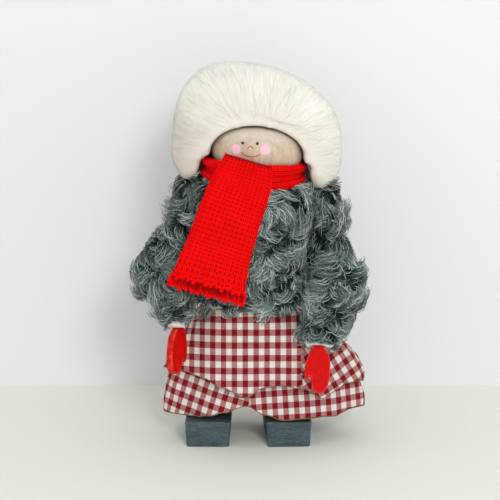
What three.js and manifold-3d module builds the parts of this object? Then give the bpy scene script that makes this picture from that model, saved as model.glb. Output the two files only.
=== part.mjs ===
// A wooden tomte: a gnome doll on shoe blocks, with a turned head, a fur coat, a knitted scarf and gingham skirts.
// Millimetres, +Z up. The figure faces -Y, and the doll's body leans a little towards +X, as it stands in the photo.
import * as THREE from 'three';
import { mergeVertices } from 'three/addons/utils/BufferGeometryUtils.js';
import { ParametricGeometry } from 'three/addons/geometries/ParametricGeometry.js';
import Module from 'manifold-3d';

const wasm = await Module();
wasm.setup();

// Gaps and edges
const fitGap = 0.3;
const clothGap = 0.8;
const edgeRound = 0.8;
const overcut = 2;

// Stance: where the body's foot stands over the floor, and how it leans
const bodyFootX = -6.4;
const bodyFootZ = 62;
const leanDegrees = 4;
const centreShiftX = -2.63;
const centreShiftY = 5.17;

// Turned body, its dowels and the head
const bodyHeight = 140;
const bodyFootRadius = 31;
const bodyNeckShare = 0.46;
const bodyProfileShares = [
  [0.96, 0], [1, 0.012], [0.87, 0.26], [0.76, 0.56], [0.68, 0.78], [0.6, 0.92], [bodyNeckShare, 0.985], [0.4, 1],
];
const neckDowelRadius = 5;
const neckSocketDepth = 12;
const neckShow = 6;
const headRadius = 35;
const headHalfHeight = 20.6;
const headCentreHeight = bodyHeight + neckShow + headHalfHeight;
const headSocketDepth = 20;
const headSquareness = 0.92;

// Legs and shoes
const legRadius = 4;
const legSocketDepth = 16;
const leftLegX = -27;
const rightLegX = 17.6;
const shoeWidth = 36;
const shoeLength = 55;
const shoeHeight = 20;
const shoeTaperShare = 0.92;
const shoeCornerRadius = 2.4;
const shoeFrontY = -30;
const leftShoeX = -32.5;
const rightShoeX = 29;
const leftShoeTurn = -1;
const rightShoeTurn = 3;
const shoeSocketDepth = 14;

// Arms: a dowel through the body carries a wooden arm on each side
const axleRadius = 3.6;
const axleStickOut = 1;
const axleUnderSocket = 2.1;
const shoulderHeight = bodyHeight - neckSocketDepth - axleUnderSocket - axleRadius - fitGap;
const armOutsideSleeveLeft = 5.6;
const armOutsideSleeveRight = 12;
const armHubRadius = 8.5;
const armHubWidth = 9.6;
const armRadius = 4;
const leftArmLength = shoulderHeight * 0.7172;
const rightArmLength = shoulderHeight * 0.7787;
const wristPinRadius = 1.3;
const wristPinLength = 14;
const leftArmForward = 22;
const rightArmForward = 24;

// Mittens: flat sawn boards on the wrist pins
const wristGap = 0.4;
const mittenLength = 43.6;
const mittenWidth = 19.5;
const mittenThickness = 5.5;
const mittenCurveSteps = 3;
const leftMittenTurn = 55;
const mittenOutlineShares = [
  [-0.2, 0], [-0.21, 0.2], [-0.33, 0.4], [-0.48, 0.6], [-0.5, 0.74], [-0.42, 0.79], [-0.33, 0.75],
  [-0.27, 0.68], [-0.22, 0.75], [-0.2, 0.88], [-0.07, 0.985], [0.13, 1], [0.35, 0.95], [0.47, 0.8],
  [0.5, 0.6], [0.42, 0.38], [0.23, 0.2], [0.2, 0],
];

// Fur sleeves: stations down the arm as shares of the sleeve's length, then the
// outer side and half depth as shares of its widest reach and depth
const sleeveOverWrist = 10;
const sleeveDepth = 22;
const leftSleeveDome = 22.5;
const rightSleeveDome = 26;
const sleeveSquareness = 2.4;
const leftSleeveReach = 41;
const rightSleeveReach = 43;
const cuffRadius = 5.7;
const cuffDepth = 22;
const leftSleeveShares = [
  [0, 0.38, 1], [0.1, 0.42, 1], [0.19, 0.5, 0.97], [0.25, 0.64, 0.95], [0.33, 0.78, 0.95], [0.43, 0.94, 0.94],
  [0.52, 1, 0.92], [0.62, 0.98, 0.86], [0.7, 0.9, 0.8], [0.78, 0.74, 0.72], [0.87, 0.46, 0.64], [1, 0.33, 0.57],
];
const rightSleeveShares = [
  [0, 0.5, 1], [0.1, 0.6, 1], [0.19, 0.68, 0.97], [0.35, 0.82, 0.93], [0.46, 0.92, 0.9], [0.56, 1, 0.86],
  [0.63, 0.98, 0.8], [0.76, 0.86, 0.68], [0.83, 0.7, 0.56], [0.9, 0.62, 0.44], [1, 0.58, 0.36],
];

// Fur jacket: heights as shares of its top, then half width and half depth as shares
const jacketOverShoulder = 20;
const jacketTop = shoulderHeight + jacketOverShoulder;
const jacketHem = 48;
const jacketSquareness = 2.5;
const jacketHalfWidth = bodyFootRadius + 12.6;
const jacketFront = bodyFootRadius + 14;
const jacketBack = bodyFootRadius + 11;
const jacketSleeveGap = 1;
const sleeveInnerX = jacketHalfWidth + jacketSleeveGap;
const leftArmX = -sleeveInnerX - armOutsideSleeveLeft;
const rightArmX = sleeveInnerX + armOutsideSleeveRight;
const jacketShares = [
  [0, 0.96, 0.94], [0.1, 1, 1], [0.35, 1, 1], [0.6, 1, 0.98], [0.8, 1, 0.96], [0.92, 0.97, 0.88], [1, 0.86, 0.72],
];
const jacketPocketHeight = 18;
const overWaistHalfWidth = bodyFootRadius + 5.4;
const overWaistHalfDepth = bodyFootRadius + 3.4;
const pocketRoom = 2.6;
const jacketPocketHalfWidth = overWaistHalfWidth + pocketRoom;
const jacketPocketHalfDepth = overWaistHalfDepth + pocketRoom;

// Knitted scarf
const wrapHalfWidth = headRadius + 3;
const wrapHalfDepth = headRadius + 5.2;
const wrapOverJacket = 11.6;
const wrapHeight = jacketTop + wrapOverJacket;
const wrapSquareness = 2.6;
const wrapSag = 2;
const wrapBand = 15;
const wrapFrontBand = 21;
const wrapThickness = 7.2;
const tailWall = 1.7;
const tailThickness = 8;
const tailHollowShare = 0.62;
const tailOpenEnd = 1.05;
const tailSquareness = 2.8;
const tailWrapGap = 0.5;
const tailJacketGap = 3.3;
const tailForward = Math.max(
  wrapHalfDepth + wrapThickness / 2 + tailThickness / 2 + tailWrapGap,
  jacketFront + tailJacketGap,
);
// Stations of the hanging end: across, height over the wrap, swell to the front and half width
const tailStations = [
  [-7.5, 11.4, 0, 16], [-10, -1.6, 0, 20], [-13.5, -12.6, 0.2, 22], [-19, -29.6, 1.1, 23.5],
  [-23.5, -49.6, 3.3, 24.8], [-27, -65.6, 7.1, 26.3], [-31, -86.6, 13.7, 28.6],
];

// Wool hair, about the middle of the head
const hairHalfWidth = headRadius + 29.5;
const hairTop = headHalfHeight + 44.9;
const hairFront = 19;
const hairBack = headRadius + 21;
const hairBottom = 21;
const hairHollowRadius = wrapHalfDepth + wrapThickness / 2 + clothGap;
const hairHollowTop = -3.4;
const hairSquareness = 2.2;
const hairRoundness = 0.8;

// Skirts: both hang from the waist inside the jacket's hem
const clothThickness = 1.6;
const waistInJacket = 11;
const waistHeight = jacketHem + waistInJacket;
const waistZ = bodyFootZ + waistHeight;
const waistX = -2.3;
const waistClothGap = 1.9;
const underWaistHalfWidth = overWaistHalfWidth - clothThickness - waistClothGap;
const underWaistHalfDepth = overWaistHalfDepth - clothThickness - waistClothGap;
const overHemLeft = overWaistHalfWidth + 29.6;
const overHemRight = overWaistHalfWidth + 51.6;
const overHemFront = overWaistHalfDepth + 7.6;
const overHemBack = overWaistHalfDepth + 11.6;
const underHemLeft = underWaistHalfWidth + 33.1;
const underHemRight = underWaistHalfWidth + 56.1;
const underHemFront = underWaistHalfDepth + 5.6;
const underHemBack = underWaistHalfDepth + 9.1;
const skirtFullness = 1.6;
const overLeftSquareness = 2.2;
const underLeftSquareness = 1.8;
const hemOverShoes = 10;
const hemStep = 22;
const underHemMeanZ = shoeHeight + hemOverShoes;
const overHemMeanZ = underHemMeanZ + hemStep;
const hemWaveHeight = 9;
// Hem heights round each skirt from the right side through the front, as shares of the wave height
const overHemShares = [
  -0.79, -0.58, -0.47, -0.34, -0.56, -1.14, -0.2, 0.04, -0.09, -0.91, -0.05, 0.56, 0.72, 0.82, 0.87, 0.71,
  0.45, 0.4, 0.4, 0.45, 0.5, 0.4, 0.3, 0.2, 0.1, 0.2, 0.2, 0.1, -0.05, -0.15, -0.35, -0.6,
];
const underHemShares = [
  -0.67, -0.53, -0.47, -0.48, -0.63, -0.52, -0.64, -0.83, -0.3, 0.58, -0.01, -0.48, -0.8, -0.92,
  -1.0, -1.05, -1.0, -0.95, -0.9, -0.8, -0.65, -0.5, -0.3, -0.1, 0.0, 0.0, -0.1, -0.15,
  -0.25, -0.35, -0.45, -0.6,
];
const tuckDepth = 15;
const foldDepth = 3.2;
const foldCount = 6;
const foldStart = 1;
const sidePleatDepth = 9;
const pleatTurn = 0.175;
const pleatWidthShare = 0.045;

// Facet counts
const turnedSegments = 40;
const headSegments = 48;
const softSegments = 36;
const sleeveSegments = 22;
const domeRows = 3;
const wrapSegments = 28;
const wrapRows = 8;
const tailSegments = 20;
const tailRows = 9;
const tailHollowRows = 6;
const hairRows = 14;
const skirtSegments = 64;
const skirtRows = 5;
const bevelSteps = 2;
const cornerSteps = 4;

const radians = THREE.MathUtils.degToRad;

const materials = {
  head: new THREE.MeshStandardMaterial({ color: 0xd9b98c, roughness: 0.55, metalness: 0 }),
  dowel: new THREE.MeshStandardMaterial({ color: 0xcda978, roughness: 0.7, metalness: 0 }),
  shoe: new THREE.MeshStandardMaterial({ color: 0x343c48, roughness: 0.6, metalness: 0 }),
  mitten: new THREE.MeshStandardMaterial({ color: 0x9e1b20, roughness: 0.5, metalness: 0 }),
  wool: new THREE.MeshStandardMaterial({ color: 0xe9dcc0, roughness: 0.95, metalness: 0 }),
  fur: new THREE.MeshStandardMaterial({ color: 0x8f9490, roughness: 1, metalness: 0 }),
  knit: new THREE.MeshStandardMaterial({ color: 0xc9151b, roughness: 0.95, metalness: 0 }),
  gingham: new THREE.MeshStandardMaterial({ color: 0xb98a88, roughness: 0.9, metalness: 0 }),
};

// Frames: the leaning body, and each arm inside it
const leaning = new THREE.Matrix4()
  .makeTranslation(bodyFootX, 0, bodyFootZ)
  .multiply(new THREE.Matrix4().makeRotationY(radians(leanDegrees)));

function armFrame(acrossX, forwardDegrees) {
  return leaning.clone()
    .multiply(new THREE.Matrix4().makeTranslation(acrossX, 0, shoulderHeight))
    .multiply(new THREE.Matrix4().makeRotationX(radians(-forwardDegrees)));
}

const leftArmFrame = armFrame(leftArmX, leftArmForward);
const rightArmFrame = armFrame(rightArmX, rightArmForward);

// Turns any closed three.js geometry into a solid that faces out
function toSolid(geometry) {
  const bare = geometry.clone();
  bare.deleteAttribute('normal');
  bare.deleteAttribute('uv');
  const merged = mergeVertices(bare, 1e-4);
  const places = merged.attributes.position.array;
  const corners = [];
  for (let i = 0; i < merged.index.count; i += 3) {
    const a = merged.index.getX(i);
    const b = merged.index.getX(i + 1);
    const c = merged.index.getX(i + 2);
    if (a !== b && b !== c && a !== c) {
      corners.push(a, b, c);
    }
  }
  const corner = [new THREE.Vector3(), new THREE.Vector3(), new THREE.Vector3()];
  let volume = 0;
  for (let i = 0; i < corners.length; i += 3) {
    corner.forEach((point, k) => point.fromArray(places, corners[i + k] * 3));
    volume += corner[0].dot(corner[1].clone().cross(corner[2]));
  }
  if (volume < 0) {
    for (let i = 0; i < corners.length; i += 3) {
      [corners[i], corners[i + 1]] = [corners[i + 1], corners[i]];
    }
  }
  return new wasm.Manifold(new wasm.Mesh({
    numProp: 3,
    vertProperties: new Float32Array(places),
    triVerts: new Uint32Array(corners),
  }));
}

function toMesh(name, solid, material) {
  const result = solid.getMesh();
  const geometry = new THREE.BufferGeometry();
  geometry.setAttribute('position', new THREE.BufferAttribute(new Float32Array(result.vertProperties), 3));
  geometry.setIndex(new THREE.BufferAttribute(new Uint32Array(result.triVerts), 1));
  geometry.computeVertexNormals();
  const mesh = new THREE.Mesh(geometry, material);
  mesh.name = name;
  return mesh;
}

function placed(geometry, matrix) {
  return geometry.clone().applyMatrix4(matrix);
}

// A turned solid about +Z from [radius, height] points
function turned(points, segments = turnedSegments) {
  const profile = points.map(([radius, height]) => new THREE.Vector2(radius, height));
  return new THREE.LatheGeometry(profile, segments).rotateX(radians(90));
}

function dowel(radius, length, chamfer = edgeRound) {
  return turned([
    [0, 0], [radius - chamfer, 0], [radius, chamfer],
    [radius, length - chamfer], [radius - chamfer, length], [0, length],
  ], turnedSegments / 2);
}

// A plain round or oval cutter along +Z
function drill(halfWidth, length, halfDepth = halfWidth) {
  return new THREE.CylinderGeometry(1, 1, length, turnedSegments / 2)
    .rotateX(radians(90))
    .translate(0, 0, length / 2)
    .scale(halfWidth, halfDepth, 1);
}

// A point of a rounded-square ring; squareness 2 is an ellipse, more is boxier
function ringPoint(angle, halfWidth, halfDepth, squareness = 2) {
  const across = Math.cos(angle);
  const along = Math.sin(angle);
  return [
    halfWidth * Math.sign(across) * Math.abs(across) ** (2 / squareness),
    halfDepth * Math.sign(along) * Math.abs(along) ** (2 / squareness),
  ];
}

// A closed loft through rings [x, y, z, halfWidth, halfDepth], with a point at each end
function loft(rings, squareness = 2, segments = softSegments) {
  const first = rings[0];
  const last = rings[rings.length - 1];
  const rows = [[first[0], first[1], first[2], 0, 0], ...rings, [last[0], last[1], last[2], 0, 0]];
  const shape = (u, v, target) => {
    const row = rows[Math.round(v * (rows.length - 1))];
    const [x, y] = ringPoint(u * 2 * Math.PI, row[3], row[4], squareness);
    target.set(row[0] + x, row[1] + y, row[2]);
  };
  return new ParametricGeometry(shape, segments, rows.length - 1);
}

function headGeometry(extra = 0) {
  const points = [];
  const steps = turnedSegments / 2;
  for (let i = 0; i <= steps; i += 1) {
    const angle = radians(-90 + (180 * i) / steps);
    const round = Math.cos(angle) ** headSquareness;
    const rise = Math.sign(Math.sin(angle)) * Math.abs(Math.sin(angle)) ** headSquareness;
    points.push([i === 0 || i === steps ? 0 : (headRadius + extra) * round, (headHalfHeight + extra) * rise]);
  }
  return turned(points, headSegments);
}

const headFrame = leaning.clone().multiply(new THREE.Matrix4().makeTranslation(0, 0, headCentreHeight));
const neckFrame = leaning.clone()
  .multiply(new THREE.Matrix4().makeTranslation(0, 0, bodyHeight - neckSocketDepth + fitGap));
const neckLength = neckShow + headSocketDepth + neckSocketDepth - 2 * fitGap;

function makeHead() {
  const socket = drill(neckDowelRadius + fitGap, headSocketDepth + overcut)
    .translate(0, 0, -headHalfHeight - overcut);
  const solid = toSolid(placed(headGeometry(), headFrame)).subtract(toSolid(placed(socket, headFrame)));
  return toMesh('head', solid, materials.head);
}

function makeNeckDowel() {
  return toMesh('neck_dowel', toSolid(placed(dowel(neckDowelRadius, neckLength), neckFrame)), materials.dowel);
}

const axleFrame = leaning.clone()
  .multiply(new THREE.Matrix4().makeTranslation(0, 0, shoulderHeight))
  .multiply(new THREE.Matrix4().makeRotationY(radians(90)));
const axleLeftEnd = leftArmX - armHubWidth / 2 - axleStickOut;
const axleRightEnd = rightArmX + armHubWidth / 2 + axleStickOut;

function axleCutter(gap) {
  const cutter = drill(axleRadius + gap, axleRightEnd - axleLeftEnd + 2 * overcut)
    .translate(0, 0, axleLeftEnd - overcut);
  return toSolid(placed(cutter, axleFrame));
}

function makeShoulderAxle() {
  const rod = dowel(axleRadius, axleRightEnd - axleLeftEnd).translate(0, 0, axleLeftEnd);
  return toMesh('shoulder_axle', toSolid(placed(rod, axleFrame)), materials.dowel);
}

const legs = [
  { side: 'left', legX: leftLegX, shoeX: leftShoeX, turn: leftShoeTurn },
  { side: 'right', legX: rightLegX, shoeX: rightShoeX, turn: rightShoeTurn },
];
const legFootZ = shoeHeight - shoeSocketDepth + fitGap;

// The leaning body's foot stands at a different height over each leg
function legTopZ(legX) {
  return bodyFootZ - (legX - bodyFootX) * Math.tan(radians(leanDegrees)) + legSocketDepth;
}

function bodyProfile(extra = 0) {
  const inside = bodyProfileShares.map(([radius, height]) => [bodyFootRadius * radius + extra, bodyHeight * height]);
  return [[0, 0], ...inside, [0, bodyHeight]];
}

function makeBodyCore() {
  let solid = toSolid(placed(turned(bodyProfile()), leaning));
  const socket = drill(neckDowelRadius + fitGap, neckSocketDepth + overcut)
    .translate(0, 0, bodyHeight - neckSocketDepth);
  solid = solid.subtract(toSolid(placed(socket, leaning))).subtract(axleCutter(fitGap));
  for (const leg of legs) {
    const bore = drill(legRadius + fitGap, legTopZ(leg.legX)).translate(leg.legX, 0, 0);
    solid = solid.subtract(toSolid(bore));
  }
  return toMesh('body_core', solid, materials.dowel);
}

function makeLeg(leg) {
  const length = legTopZ(leg.legX) - fitGap - legFootZ;
  const rod = dowel(legRadius, length).translate(leg.legX, 0, legFootZ);
  return toMesh(`${leg.side}_leg`, toSolid(rod), materials.dowel);
}

// A sawn block, narrower at the sole, with softened edges
function shoeBlock() {
  const halfWidth = shoeWidth / 2 - edgeRound;
  const halfLength = shoeLength / 2 - edgeRound;
  const outline = new THREE.Shape();
  const quarter = Math.PI / 2;
  const corners = [[1, 1], [-1, 1], [-1, -1], [1, -1]];
  corners.forEach(([across, along], i) => {
    outline.absarc(
      across * (halfWidth - shoeCornerRadius), along * (halfLength - shoeCornerRadius),
      shoeCornerRadius, i * quarter, (i + 1) * quarter, false,
    );
  });
  const block = new THREE.ExtrudeGeometry(outline, {
    depth: shoeHeight - 2 * edgeRound,
    bevelEnabled: true,
    bevelThickness: edgeRound,
    bevelSize: edgeRound,
    bevelSegments: bevelSteps,
    curveSegments: cornerSteps,
  }).translate(0, 0, edgeRound);
  const places = block.attributes.position;
  for (let i = 0; i < places.count; i += 1) {
    const share = shoeTaperShare + (1 - shoeTaperShare) * (places.getZ(i) / shoeHeight);
    places.setX(i, places.getX(i) * share);
  }
  return block;
}

function makeShoe(leg) {
  const block = shoeBlock()
    .rotateZ(radians(leg.turn))
    .translate(leg.shoeX, shoeFrontY + shoeLength / 2, 0);
  const bore = drill(legRadius + fitGap, shoeSocketDepth + overcut)
    .translate(leg.legX, 0, shoeHeight - shoeSocketDepth);
  return toMesh(`${leg.side}_shoe`, toSolid(block).subtract(toSolid(bore)), materials.shoe);
}

// A wooden arm: a hub on the axle and a turned rod that ends in the wrist pin
function makeArm(side, frame, armLength) {
  const hub = dowel(armHubRadius, armHubWidth).translate(0, 0, -armHubWidth / 2).rotateY(radians(90));
  const bore = drill(axleRadius + fitGap, armHubWidth + 2 * overcut)
    .translate(0, 0, -armHubWidth / 2 - overcut)
    .rotateY(radians(90));
  const rod = turned([
    [0, 0], [armRadius, 0], [armRadius, armLength - edgeRound], [armRadius - edgeRound, armLength],
    [wristPinRadius, armLength], [wristPinRadius, armLength + wristPinLength], [0, armLength + wristPinLength],
  ], turnedSegments / 2).rotateX(radians(180));
  const solid = toSolid(placed(rod, frame))
    .add(toSolid(placed(hub, frame)))
    .subtract(toSolid(placed(bore, frame)));
  return toMesh(`${side}_arm`, solid, materials.dowel);
}

function makeMitten(side, frame, armLength, turnDegrees) {
  const mittenTop = armLength + wristGap;
  const outline = mittenOutlineShares.map(([across, down]) => (
    new THREE.Vector2(across * mittenWidth, -mittenTop - down * mittenLength)
  ));
  const curve = new THREE.SplineCurve(outline);
  const shape = new THREE.Shape(curve.getPoints(outline.length * mittenCurveSteps));
  const board = new THREE.ExtrudeGeometry(shape, {
    depth: mittenThickness - 2 * edgeRound,
    bevelEnabled: true,
    bevelThickness: edgeRound,
    bevelSize: edgeRound,
    bevelOffset: -edgeRound,
    bevelSegments: bevelSteps,
  })
    .translate(0, 0, edgeRound - mittenThickness / 2)
    .rotateX(radians(90));
  const bore = drill(wristPinRadius + fitGap, wristPinLength + overcut)
    .translate(0, 0, -armLength - wristPinLength - fitGap);
  const turn = new THREE.Matrix4().makeRotationZ(radians(turnDegrees));
  const seated = frame.clone().multiply(turn);
  const solid = toSolid(placed(board, seated)).subtract(toSolid(placed(bore, frame)));
  return toMesh(`${side}_mitten`, solid, materials.mitten);
}

// A fur sleeve round the arm, domed over the shoulder and open at the armhole and cuff
function makeSleeve({ side, frame, armLength, shares, reach, outward, armX, dome }) {
  const sleeveLength = armLength + sleeveOverWrist;
  const innerX = outward * sleeveInnerX - armX;
  const rings = [];
  for (let i = 0; i < domeRows; i += 1) {
    const angle = (1 - (i + 1 / 2) / (domeRows + 1 / 2)) * (Math.PI / 2);
    const across = reach * shares[0][1];
    const middle = innerX + (outward * across) / 2;
    const width = (across / 2) * Math.sqrt(Math.cos(angle));
    rings.push([middle, 0, dome * Math.sin(angle), width, sleeveDepth * Math.cos(angle)]);
  }
  for (const [down, out, depth] of shares) {
    const across = reach * out;
    rings.push([innerX + (outward * across) / 2, 0, -sleeveLength * down, across / 2, sleeveDepth * depth]);
  }
  const skin = loft(rings, sleeveSquareness, sleeveSegments);
  const armhole = drill(armHubRadius + clothGap, armHubWidth / 2 + overcut + Math.abs(innerX))
    .translate(0, 0, outward > 0 ? innerX - overcut : -armHubWidth / 2 - overcut + fitGap)
    .rotateY(radians(90));
  const armholeEnd = drill(armHubRadius + clothGap, overcut * 2)
    .translate(0, 0, outward > 0 ? armHubWidth / 2 - overcut : -armHubWidth / 2 - overcut)
    .rotateY(radians(90));
  const channel = drill(armRadius + clothGap, sleeveLength + overcut).translate(0, 0, -sleeveLength - overcut);
  const cuff = drill(cuffRadius, cuffDepth + overcut).translate(0, 0, -sleeveLength - overcut);
  let solid = toSolid(placed(skin, frame));
  for (const cutter of [armhole, armholeEnd, channel, cuff]) {
    solid = solid.subtract(toSolid(placed(cutter, frame)));
  }
  return toMesh(`${side}_sleeve`, solid, materials.fur);
}

function makeJacket() {
  const rings = jacketShares.map(([height, width, depth]) => [
    0,
    (depth * (jacketBack - jacketFront)) / 2,
    jacketHem + height * (jacketTop - jacketHem),
    width * jacketHalfWidth,
    (depth * (jacketBack + jacketFront)) / 2,
  ]);
  const coat = loft(rings, jacketSquareness);
  const core = turned(bodyProfile(clothGap), softSegments);
  const pocket = drill(jacketPocketHalfWidth, jacketPocketHeight + overcut, jacketPocketHalfDepth)
    .translate(0, 0, jacketHem - overcut);
  const neck = drill(bodyFootRadius * bodyNeckShare + clothGap, overcut + jacketTop)
    .translate(0, 0, shoulderHeight);
  let solid = toSolid(placed(coat, leaning));
  for (const cutter of [core, pocket, neck]) {
    solid = solid.subtract(toSolid(placed(cutter, leaning)));
  }
  return toMesh('jacket_body', solid.subtract(axleCutter(clothGap)), materials.fur);
}

// The scarf's turn round the neck: a flattened roll, wider and lower in front
function makeScarfWrap() {
  const shape = (u, v, target) => {
    const around = u * 2 * Math.PI;
    const section = v * 2 * Math.PI;
    const front = Math.max(0, -Math.sin(around)) ** 2;
    const halfBand = THREE.MathUtils.lerp(wrapBand, wrapFrontBand, front) / 2;
    const [across, up] = ringPoint(section, wrapThickness / 2, halfBand, wrapSquareness);
    const [x, y] = ringPoint(around, wrapHalfWidth + across, wrapHalfDepth + across);
    target.set(x, y, wrapHeight - wrapSag * front + up);
  };
  const roll = new ParametricGeometry(shape, wrapSegments, wrapRows);
  return toMesh('scarf_wrap', toSolid(placed(roll, leaning)), materials.knit);
}

// The scarf's hanging end: a knitted tube pressed flat, open at its lower end
function makeScarfTail() {
  const path = new THREE.CatmullRomCurve3(tailStations.map(([x, rise, swell]) => (
    new THREE.Vector3(x, -tailForward - swell, wrapHeight + rise)
  )));
  const widths = new THREE.SplineCurve(tailStations.map(([, , , half], i) => (
    new THREE.Vector2(i / (tailStations.length - 1), half)
  )));
  const tube = (from, to, inset, rows) => {
    const shape = (u, v, target) => {
      const rowV = Math.min(1, Math.max(0, (v * (rows + 2) - 1) / rows));
      const t = from + (to - from) * rowV;
      const ended = v === 0 || v === 1;
      const along = Math.min(1, t);
      const middle = path.getPoint(along);
      const tangent = path.getTangent(along);
      middle.addScaledVector(tangent, (t - along) * path.getLength());
      const up = new THREE.Vector3().crossVectors(tangent, new THREE.Vector3(1, 0, 0)).normalize();
      const side = new THREE.Vector3().crossVectors(up, tangent).normalize();
      const half = widths.getPoint(along).y - inset;
      const depth = tailThickness / 2 - inset;
      const [x, y] = ringPoint(u * 2 * Math.PI, ended ? 0 : half, ended ? 0 : depth, tailSquareness);
      target.copy(middle).addScaledVector(side, x).addScaledVector(up, y);
    };
    return new ParametricGeometry(shape, tailSegments, rows + 2);
  };
  const outer = toSolid(placed(tube(0, 1, 0, tailRows), leaning));
  const inner = toSolid(placed(tube(1 - tailHollowShare, tailOpenEnd, tailWall, tailHollowRows), leaning));
  return toMesh('scarf_tail', outer.subtract(inner), materials.knit);
}

// Combed wool over the head like a hood, open for the face, hollow over the shoulders
function makeHair() {
  const shape = (u, v, target) => {
    const around = u * 2 * Math.PI;
    const rise = (v - 0.5) * Math.PI;
    const flat = Math.cos(rise) ** hairRoundness;
    const back = Math.sin(around) > 0 ? hairBack : hairFront;
    const lift = Math.sin(rise) > 0 ? hairTop : hairBottom;
    const [x, y] = ringPoint(around, hairHalfWidth * flat, back * flat, hairSquareness);
    target.set(x, y, lift * Math.sign(Math.sin(rise)) * Math.abs(Math.sin(rise)) ** hairRoundness);
  };
  const hood = new ParametricGeometry(shape, softSegments, hairRows);
  const face = drill(headRadius + clothGap, hairBack, headHalfHeight + clothGap).rotateX(radians(90));
  const hollow = drill(hairHollowRadius, hairBottom + hairHollowTop + overcut)
    .translate(0, 0, -hairBottom - overcut);
  let solid = toSolid(placed(hood, headFrame)).subtract(toSolid(placed(headGeometry(clothGap), headFrame)));
  for (const cutter of [face, hollow]) {
    solid = solid.subtract(toSolid(placed(cutter, headFrame)));
  }
  return toMesh('hair', solid, materials.wool);
}

// Smooth value round a closed list, for a hem that rises and dips
function roundTheHem(shares, turnShare) {
  const place = ((turnShare % 1) + 1) % 1 * shares.length;
  const low = Math.floor(place);
  const blend = (1 - Math.cos((place - low) * Math.PI)) / 2;
  return shares[low % shares.length] * (1 - blend) + shares[(low + 1) % shares.length] * blend;
}

// How far a skirt has spread at this share of its fall below the jacket
function bell(fall) {
  return 1 - (1 - THREE.MathUtils.clamp(fall, 0, 1)) ** skirtFullness;
}

// A gathered skirt: inside and outside surfaces joined at the waist and the hem
function makeSkirt(name, size) {
  const waistLeft = size.waistHalfWidth - waistX;
  const waistRight = size.waistHalfWidth + waistX;
  const tuckZ = waistZ - tuckDepth;
  const surfacePoint = (turnShare, row, inset) => {
    const angle = -turnShare * 2 * Math.PI;
    const hemZ = size.hemZ + hemWaveHeight * roundTheHem(size.hemShares, turnShare);
    const z = row === 0 ? waistZ : THREE.MathUtils.lerp(tuckZ, hemZ, (row - 1) / (skirtRows - 1));
    const fall = (tuckZ - z) / (tuckZ - size.hemZ);
    const spread = bell(fall);
    const left = THREE.MathUtils.lerp(waistLeft, size.hemLeft, spread);
    const right = THREE.MathUtils.lerp(waistRight, size.hemRight, spread);
    const front = THREE.MathUtils.lerp(size.waistHalfDepth, size.hemFront, spread);
    const back = THREE.MathUtils.lerp(size.waistHalfDepth, size.hemBack, spread);
    const depth = Math.sin(angle) < 0 ? front : back;
    const squareness = 2 + (size.leftSquareness - 2) * Math.max(0, -Math.cos(angle)) ** 2;
    const [x, y] = ringPoint(angle, (left + right) / 2, depth, squareness);
    const length = Math.hypot(x, y);
    const pleat = sidePleatDepth * Math.exp(-(((turnShare - pleatTurn) / pleatWidthShare) ** 2));
    const wave = foldDepth * Math.sin(angle * foldCount + foldStart);
    const shift = (wave - pleat) * spread - inset;
    return [(right - left) / 2 + x * (1 + shift / length), y * (1 + shift / length), z];
  };
  const shape = (u, v, target) => {
    const ring = Math.round(v * (2 * skirtRows + 2)) % (2 * skirtRows + 2);
    const outside = ring <= skirtRows;
    const row = outside ? ring : 2 * skirtRows + 1 - ring;
    target.set(...surfacePoint(u % 1, row, outside ? 0 : clothThickness));
  };
  const cloth = new ParametricGeometry(shape, skirtSegments, 2 * skirtRows + 2);
  return toMesh(name, toSolid(cloth), materials.gingham);
}

const overskirt = {
  waistHalfWidth: overWaistHalfWidth,
  waistHalfDepth: overWaistHalfDepth,
  hemLeft: overHemLeft,
  hemRight: overHemRight,
  hemFront: overHemFront,
  hemBack: overHemBack,
  hemZ: overHemMeanZ,
  hemShares: overHemShares,
  leftSquareness: overLeftSquareness,
};
const underskirt = {
  waistHalfWidth: underWaistHalfWidth,
  waistHalfDepth: underWaistHalfDepth,
  hemLeft: underHemLeft,
  hemRight: underHemRight,
  hemFront: underHemFront,
  hemBack: underHemBack,
  hemZ: underHemMeanZ,
  hemShares: underHemShares,
  leftSquareness: underLeftSquareness,
};

const tomte = new THREE.Group();
tomte.name = 'tomte_figurine';
const headGroup = new THREE.Group();
headGroup.name = 'head_group';
const leftGroup = new THREE.Group();
leftGroup.name = 'left_arm_group';
const rightGroup = new THREE.Group();
rightGroup.name = 'right_arm_group';

headGroup.add(makeHead(), makeHair());
leftGroup.add(
  makeArm('left', leftArmFrame, leftArmLength),
  makeMitten('left', leftArmFrame, leftArmLength, leftMittenTurn),
  makeSleeve({
    side: 'left',
    frame: leftArmFrame,
    armLength: leftArmLength,
    shares: leftSleeveShares,
    reach: leftSleeveReach,
    outward: -1,
    armX: leftArmX,
    dome: leftSleeveDome,
  }),
);
rightGroup.add(
  makeArm('right', rightArmFrame, rightArmLength),
  makeMitten('right', rightArmFrame, rightArmLength, 0),
  makeSleeve({
    side: 'right',
    frame: rightArmFrame,
    armLength: rightArmLength,
    shares: rightSleeveShares,
    reach: rightSleeveReach,
    outward: 1,
    armX: rightArmX,
    dome: rightSleeveDome,
  }),
);
tomte.add(makeBodyCore(), makeNeckDowel(), makeShoulderAxle());
for (const leg of legs) {
  tomte.add(makeLeg(leg), makeShoe(leg));
}
tomte.add(
  makeJacket(),
  makeScarfWrap(),
  makeScarfTail(),
  makeSkirt('overskirt', overskirt),
  makeSkirt('underskirt', underskirt),
  headGroup,
  leftGroup,
  rightGroup,
);
tomte.position.set(centreShiftX, centreShiftY, 0);

export default tomte;
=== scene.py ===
"""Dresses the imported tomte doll: turned wood, combed wool, curly fur, a knitted scarf and gingham."""
import math

import bmesh
import bpy
from mathutils import Matrix, Vector


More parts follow.
